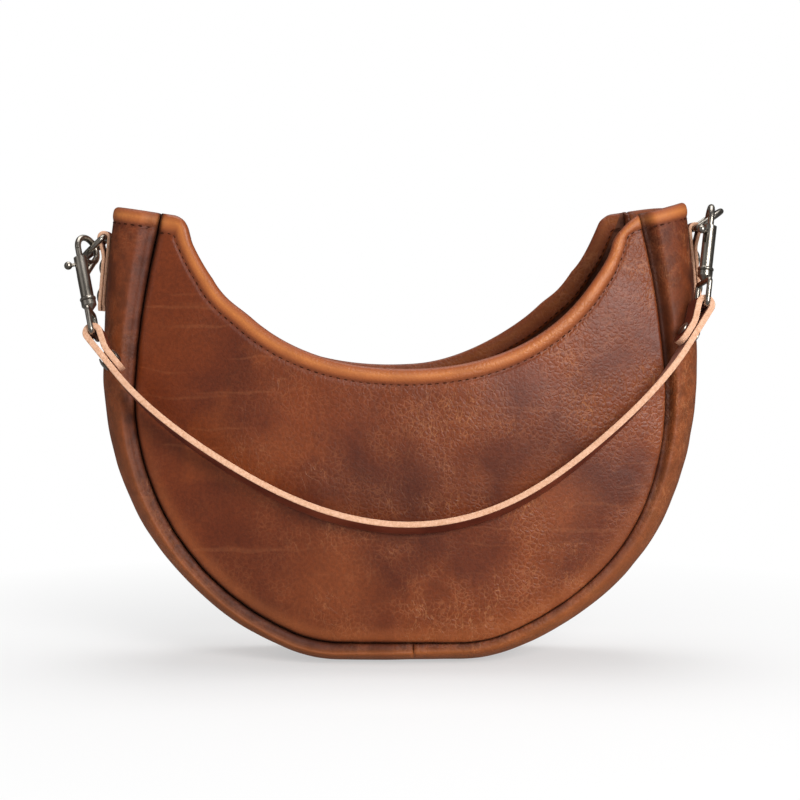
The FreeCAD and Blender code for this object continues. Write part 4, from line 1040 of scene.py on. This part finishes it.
def stitch_tree():
    """Node tree that lays stitches of one length along seam lines."""
    tree = bpy.data.node_groups.new("stitch_rows", "GeometryNodeTree")
    for label, kind in (("Seam lines", "Geometry"), ("Pitch", "Float"), ("Length", "Float"),
                        ("Thickness", "Float"), ("Seed", "Int"), ("Thread", "Material")):
        tree.interface.new_socket(label, in_out="INPUT", socket_type="NodeSocket" + kind)
    tree.interface.new_socket("Stitches", in_out="OUTPUT", socket_type="NodeSocketGeometry")
    given = add(tree, "NodeGroupInput").outputs
    line = add(tree, "GeometryNodeMeshToCurve", {"Mesh": given["Seam lines"]})
    rows = add(tree, "GeometryNodeResampleCurve", {"Curve": line, "Length": given["Pitch"]}, mode="LENGTH")
    bead = add(tree, "GeometryNodeMeshUVSphere", {"Segments": 7, "Rings": 5, "Radius": 0.5})
    shape = add(tree, "ShaderNodeCombineXYZ", {"X": given["Thickness"], "Y": given["Thickness"],
                                               "Z": given["Length"]})
    stitch = add(tree, "GeometryNodeTransform", {"Geometry": bead, "Scale": shape})
    heading = add(tree, "GeometryNodeInputTangent")
    turned = add(tree, "FunctionNodeAlignRotationToVector", {"Vector": heading}, axis="Z")
    # Sockets 2 and 3 are the least and the most of a random number, and output 1 is the number.
    vary = add(tree, "FunctionNodeRandomValue", {2: 0.85, 3: 1.1, "Seed": given["Seed"]}, data_type="FLOAT")
    placed = add(tree, "GeometryNodeInstanceOnPoints",
                 {"Points": rows, "Instance": stitch, "Rotation": turned, "Scale": vary.outputs[1]})
    solid = add(tree, "GeometryNodeRealizeInstances", {"Geometry": placed})
    sewn = add(tree, "GeometryNodeSetMaterial", {"Geometry": solid, "Material": given["Thread"]})
    add(tree, "NodeGroupOutput", {"Stitches": sewn})
    return tree


def mouth_seam(face, inward, outside):
    """Stitch line of a panel's hem: up to the left tip, along the mouth and down at the right tip."""
    end = PANEL_HALF - STITCH_INSET

    def tip(along):
        """Short line across a tip, from the seam to the mouth."""
        length = panel_line(along)[2]
        return [panel_point(face, along, place, inward, outside)
                for place in np.linspace(length - 2.0, STITCH_INSET, 4)]

    mouth = [panel_point(face, along, STITCH_INSET, inward, outside)
             for along in np.linspace(-end, end, 320)[1:-1]]
    return tip(-end) + mouth + tip(end)[::-1]


def seam_lines():
    """Stitch lines of the hems: panel mouths, the back one on both faces, and the horn tops."""
    lines = [mouth_seam("front", PANEL_STITCH, True), mouth_seam("back", PANEL_STITCH, True),
             mouth_seam("back", 2 * LEATHER + PANEL_STITCH, False)]
    place = Place(CREST_LENGTH - STITCH_INSET)
    for side in SIDES.values():
        section = arch(place, GUSSET_STITCH, seam_turn(side * place.x))
        arc = [place.at(out, deep) for out, deep, zone in section if zone < 0.5]
        for half in (-1, 1):
            lines.append([slump(side * x, y, z) for x, y, z in arc if half * y > TAB_BED_HALF + 0.5])
    return lines


def sew():
    """Stitches of all hems as one mesh on the bag."""
    points, edges = [], []
    for line in seam_lines():
        start = len(points)
        points += line
        edges += [(start + i, start + i + 1) for i in range(len(line) - 1)]
    mesh = bpy.data.meshes.new("seam_lines")
    mesh.from_pydata((np.array(points) * MM).tolist(), edges, [])
    guide = bpy.data.objects.new("seam_lines", mesh)
    bpy.context.scene.collection.objects.link(guide)
    rows = guide.modifiers.new("stitches", "NODES")
    rows.node_group = stitch_tree()
    values = {"Pitch": STITCH_PITCH * MM, "Length": STITCH_LENGTH * MM, "Thickness": STITCH_THICK * MM,
              "Seed": STITCH_SEED, "Thread": THREAD}
    for item in rows.node_group.interface.items_tree:
        if item.in_out == "INPUT" and item.name in values:
            rows[item.identifier] = values[item.name]
    held = guide.evaluated_get(bpy.context.evaluated_depsgraph_get())
    sewn = bpy.data.objects.new("hem_stitches", bpy.data.meshes.new_from_object(held))
    bpy.context.scene.collection.objects.link(sewn)
    bpy.data.objects.remove(guide)
    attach(sewn, "bag")


sew()


# Bolt springs

SAME_POINT = 0.0005  # points of a solid's loose triangles that are closer than this are one


def build_spring(word):
    """Coil of one snap, on a mesh of its own."""
    joint = JOINTS["bolt_" + word + "_slide"]
    pull = Vector(joint["axis"])
    coil = bpy.data.objects.new("bolt_spring_" + word, frame["nodes"]["snap_spring_" + word].data.copy())
    bpy.context.scene.collection.objects.link(coil)
    clean(coil, SAME_POINT)
    coil.data.materials.clear()
    coil.data.materials.append(SPRING)
    settle(coil, "snap_spring_" + word, "snap_" + word)
    foot = max((v.co for v in coil.data.vertices), key=pull.dot).copy()
    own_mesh(coil)


for word in SIDES:
    build_spring(word)


# Hardware keeps its solids and gets its plating

FINISHES = {"dark_nickel": NICKEL, "rivet_metal": CAP, "spring_steel": SPRING,
            "body_leather": HIDE, "strap_leather": GRAIN}
for entry in frame["record"]["subparts"]:
    for holder in frame["nodes"][entry["node"]].material_slots:
        holder.material = FINISHES[entry["material_slot"]]


# Studio

FLOOR = [(-4000, -2500, -0.1), (4000, -2500, -0.1), (4000, 5000, -0.1), (-4000, 5000, -0.1)]
PAPER, WHITE = shade("#efefef"), shade("#ffffff")
# Lamps: place, aim and width in metres, and power. The camera's places are in metres too.
LAMPS = {"key_right": ((0.68, -1.4, 0.68), (0.1, 0, 0.12), 0.7, 21),
         "fill_left": ((-1.3, -0.9, 0.8), (0, 0, 0.12), 1.0, 1.6),
         "top": ((0.0, 0.25, 1.7), (0, 0, 0.1), 1.2, 16)}
CAMERA_PLACE, CAMERA_AIM, CAMERA_LENS = (0.0, -1.0, 0.19), (0.0, 0.0, 0.134), 86.5


def lay_floor():
    """Pale paper that holds the bag's shadow and fades to white away from it."""
    material, tree, place = new_finish("pale_floor")
    seen = add(tree, "ShaderNodeLightPath").outputs
    away = add(tree, "ShaderNodeVectorMath", {0: place}, operation="LENGTH").outputs["Value"]
    fade = add(tree, "ShaderNodeMapRange", {"Value": away, "From Min": 0.15, "From Max": 0.4,
                                            "To Min": 0.5, "To Max": 1.0})
    share = add(tree, "ShaderNodeMath", {0: seen["Is Camera Ray"], 1: fade}, operation="MULTIPLY")
    share = add(tree, "ShaderNodeMath", {0: share, 1: seen["Is Glossy Ray"]}, operation="MAXIMUM")
    # Reflections see a dimmer floor, because the leather's gloss is broken by its grain.
    strength = add(tree, "ShaderNodeMath", {0: seen["Is Camera Ray"], 1: 0.8, 2: 0.2},
                   operation="MULTIPLY_ADD")
    paper = add(tree, "ShaderNodeBsdfDiffuse", {"Color": PAPER})
    glow = add(tree, "ShaderNodeEmission", {"Color": WHITE, "Strength": strength})
    mixed = add(tree, "ShaderNodeMixShader", {0: share, 1: paper, 2: glow})
    add(tree, "ShaderNodeOutputMaterial", {"Surface": mixed})
    floor = make_piece("floor", FLOOR, [(0, 1, 2, 3)], [material])


def light_room():
    """White room, dim in reflections, that gives the shadows their soft light."""
    world = bpy.data.worlds.new("studio")
    bpy.context.scene.world = world
    world.use_nodes = True
    tree = world.node_tree
    tree.nodes.clear()
    seen = add(tree, "ShaderNodeLightPath").outputs
    around = add(tree, "ShaderNodeMath", {0: seen["Is Glossy Ray"], 1: -0.2, 2: 0.3},
                 operation="MULTIPLY_ADD")
    ambient = add(tree, "ShaderNodeBackground", {"Color": WHITE, "Strength": around})
    backdrop = add(tree, "ShaderNodeBackground", {"Color": WHITE, "Strength": 1.0})
    mixed = add(tree, "ShaderNodeMixShader", {0: seen["Is Camera Ray"], 1: ambient, 2: backdrop})
    add(tree, "ShaderNodeOutputWorld", {"Surface": mixed})


def aimed(name, data, spot, aim):
    """Lamp or camera that looks from a spot at an aim."""
    made = bpy.data.objects.new(name, data)
    made.location = spot
    made.rotation_euler = (Vector(aim) - Vector(spot)).to_track_quat("-Z", "Y").to_euler()
    bpy.context.scene.collection.objects.link(made)
    return made


bpy.context.scene.view_settings.view_transform = "Standard"
lay_floor()
light_room()
for name, (spot, aim, width, power) in LAMPS.items():
    lamp = bpy.data.lights.new(name, "AREA")
    lamp.energy = power
    lamp.size = width
    aimed(name, lamp, spot, aim)
camera = bpy.data.cameras.new("camera")
camera.lens = CAMERA_LENS
camera.sensor_width = 36
bpy.context.scene.camera = aimed("camera", camera, CAMERA_PLACE, CAMERA_AIM)
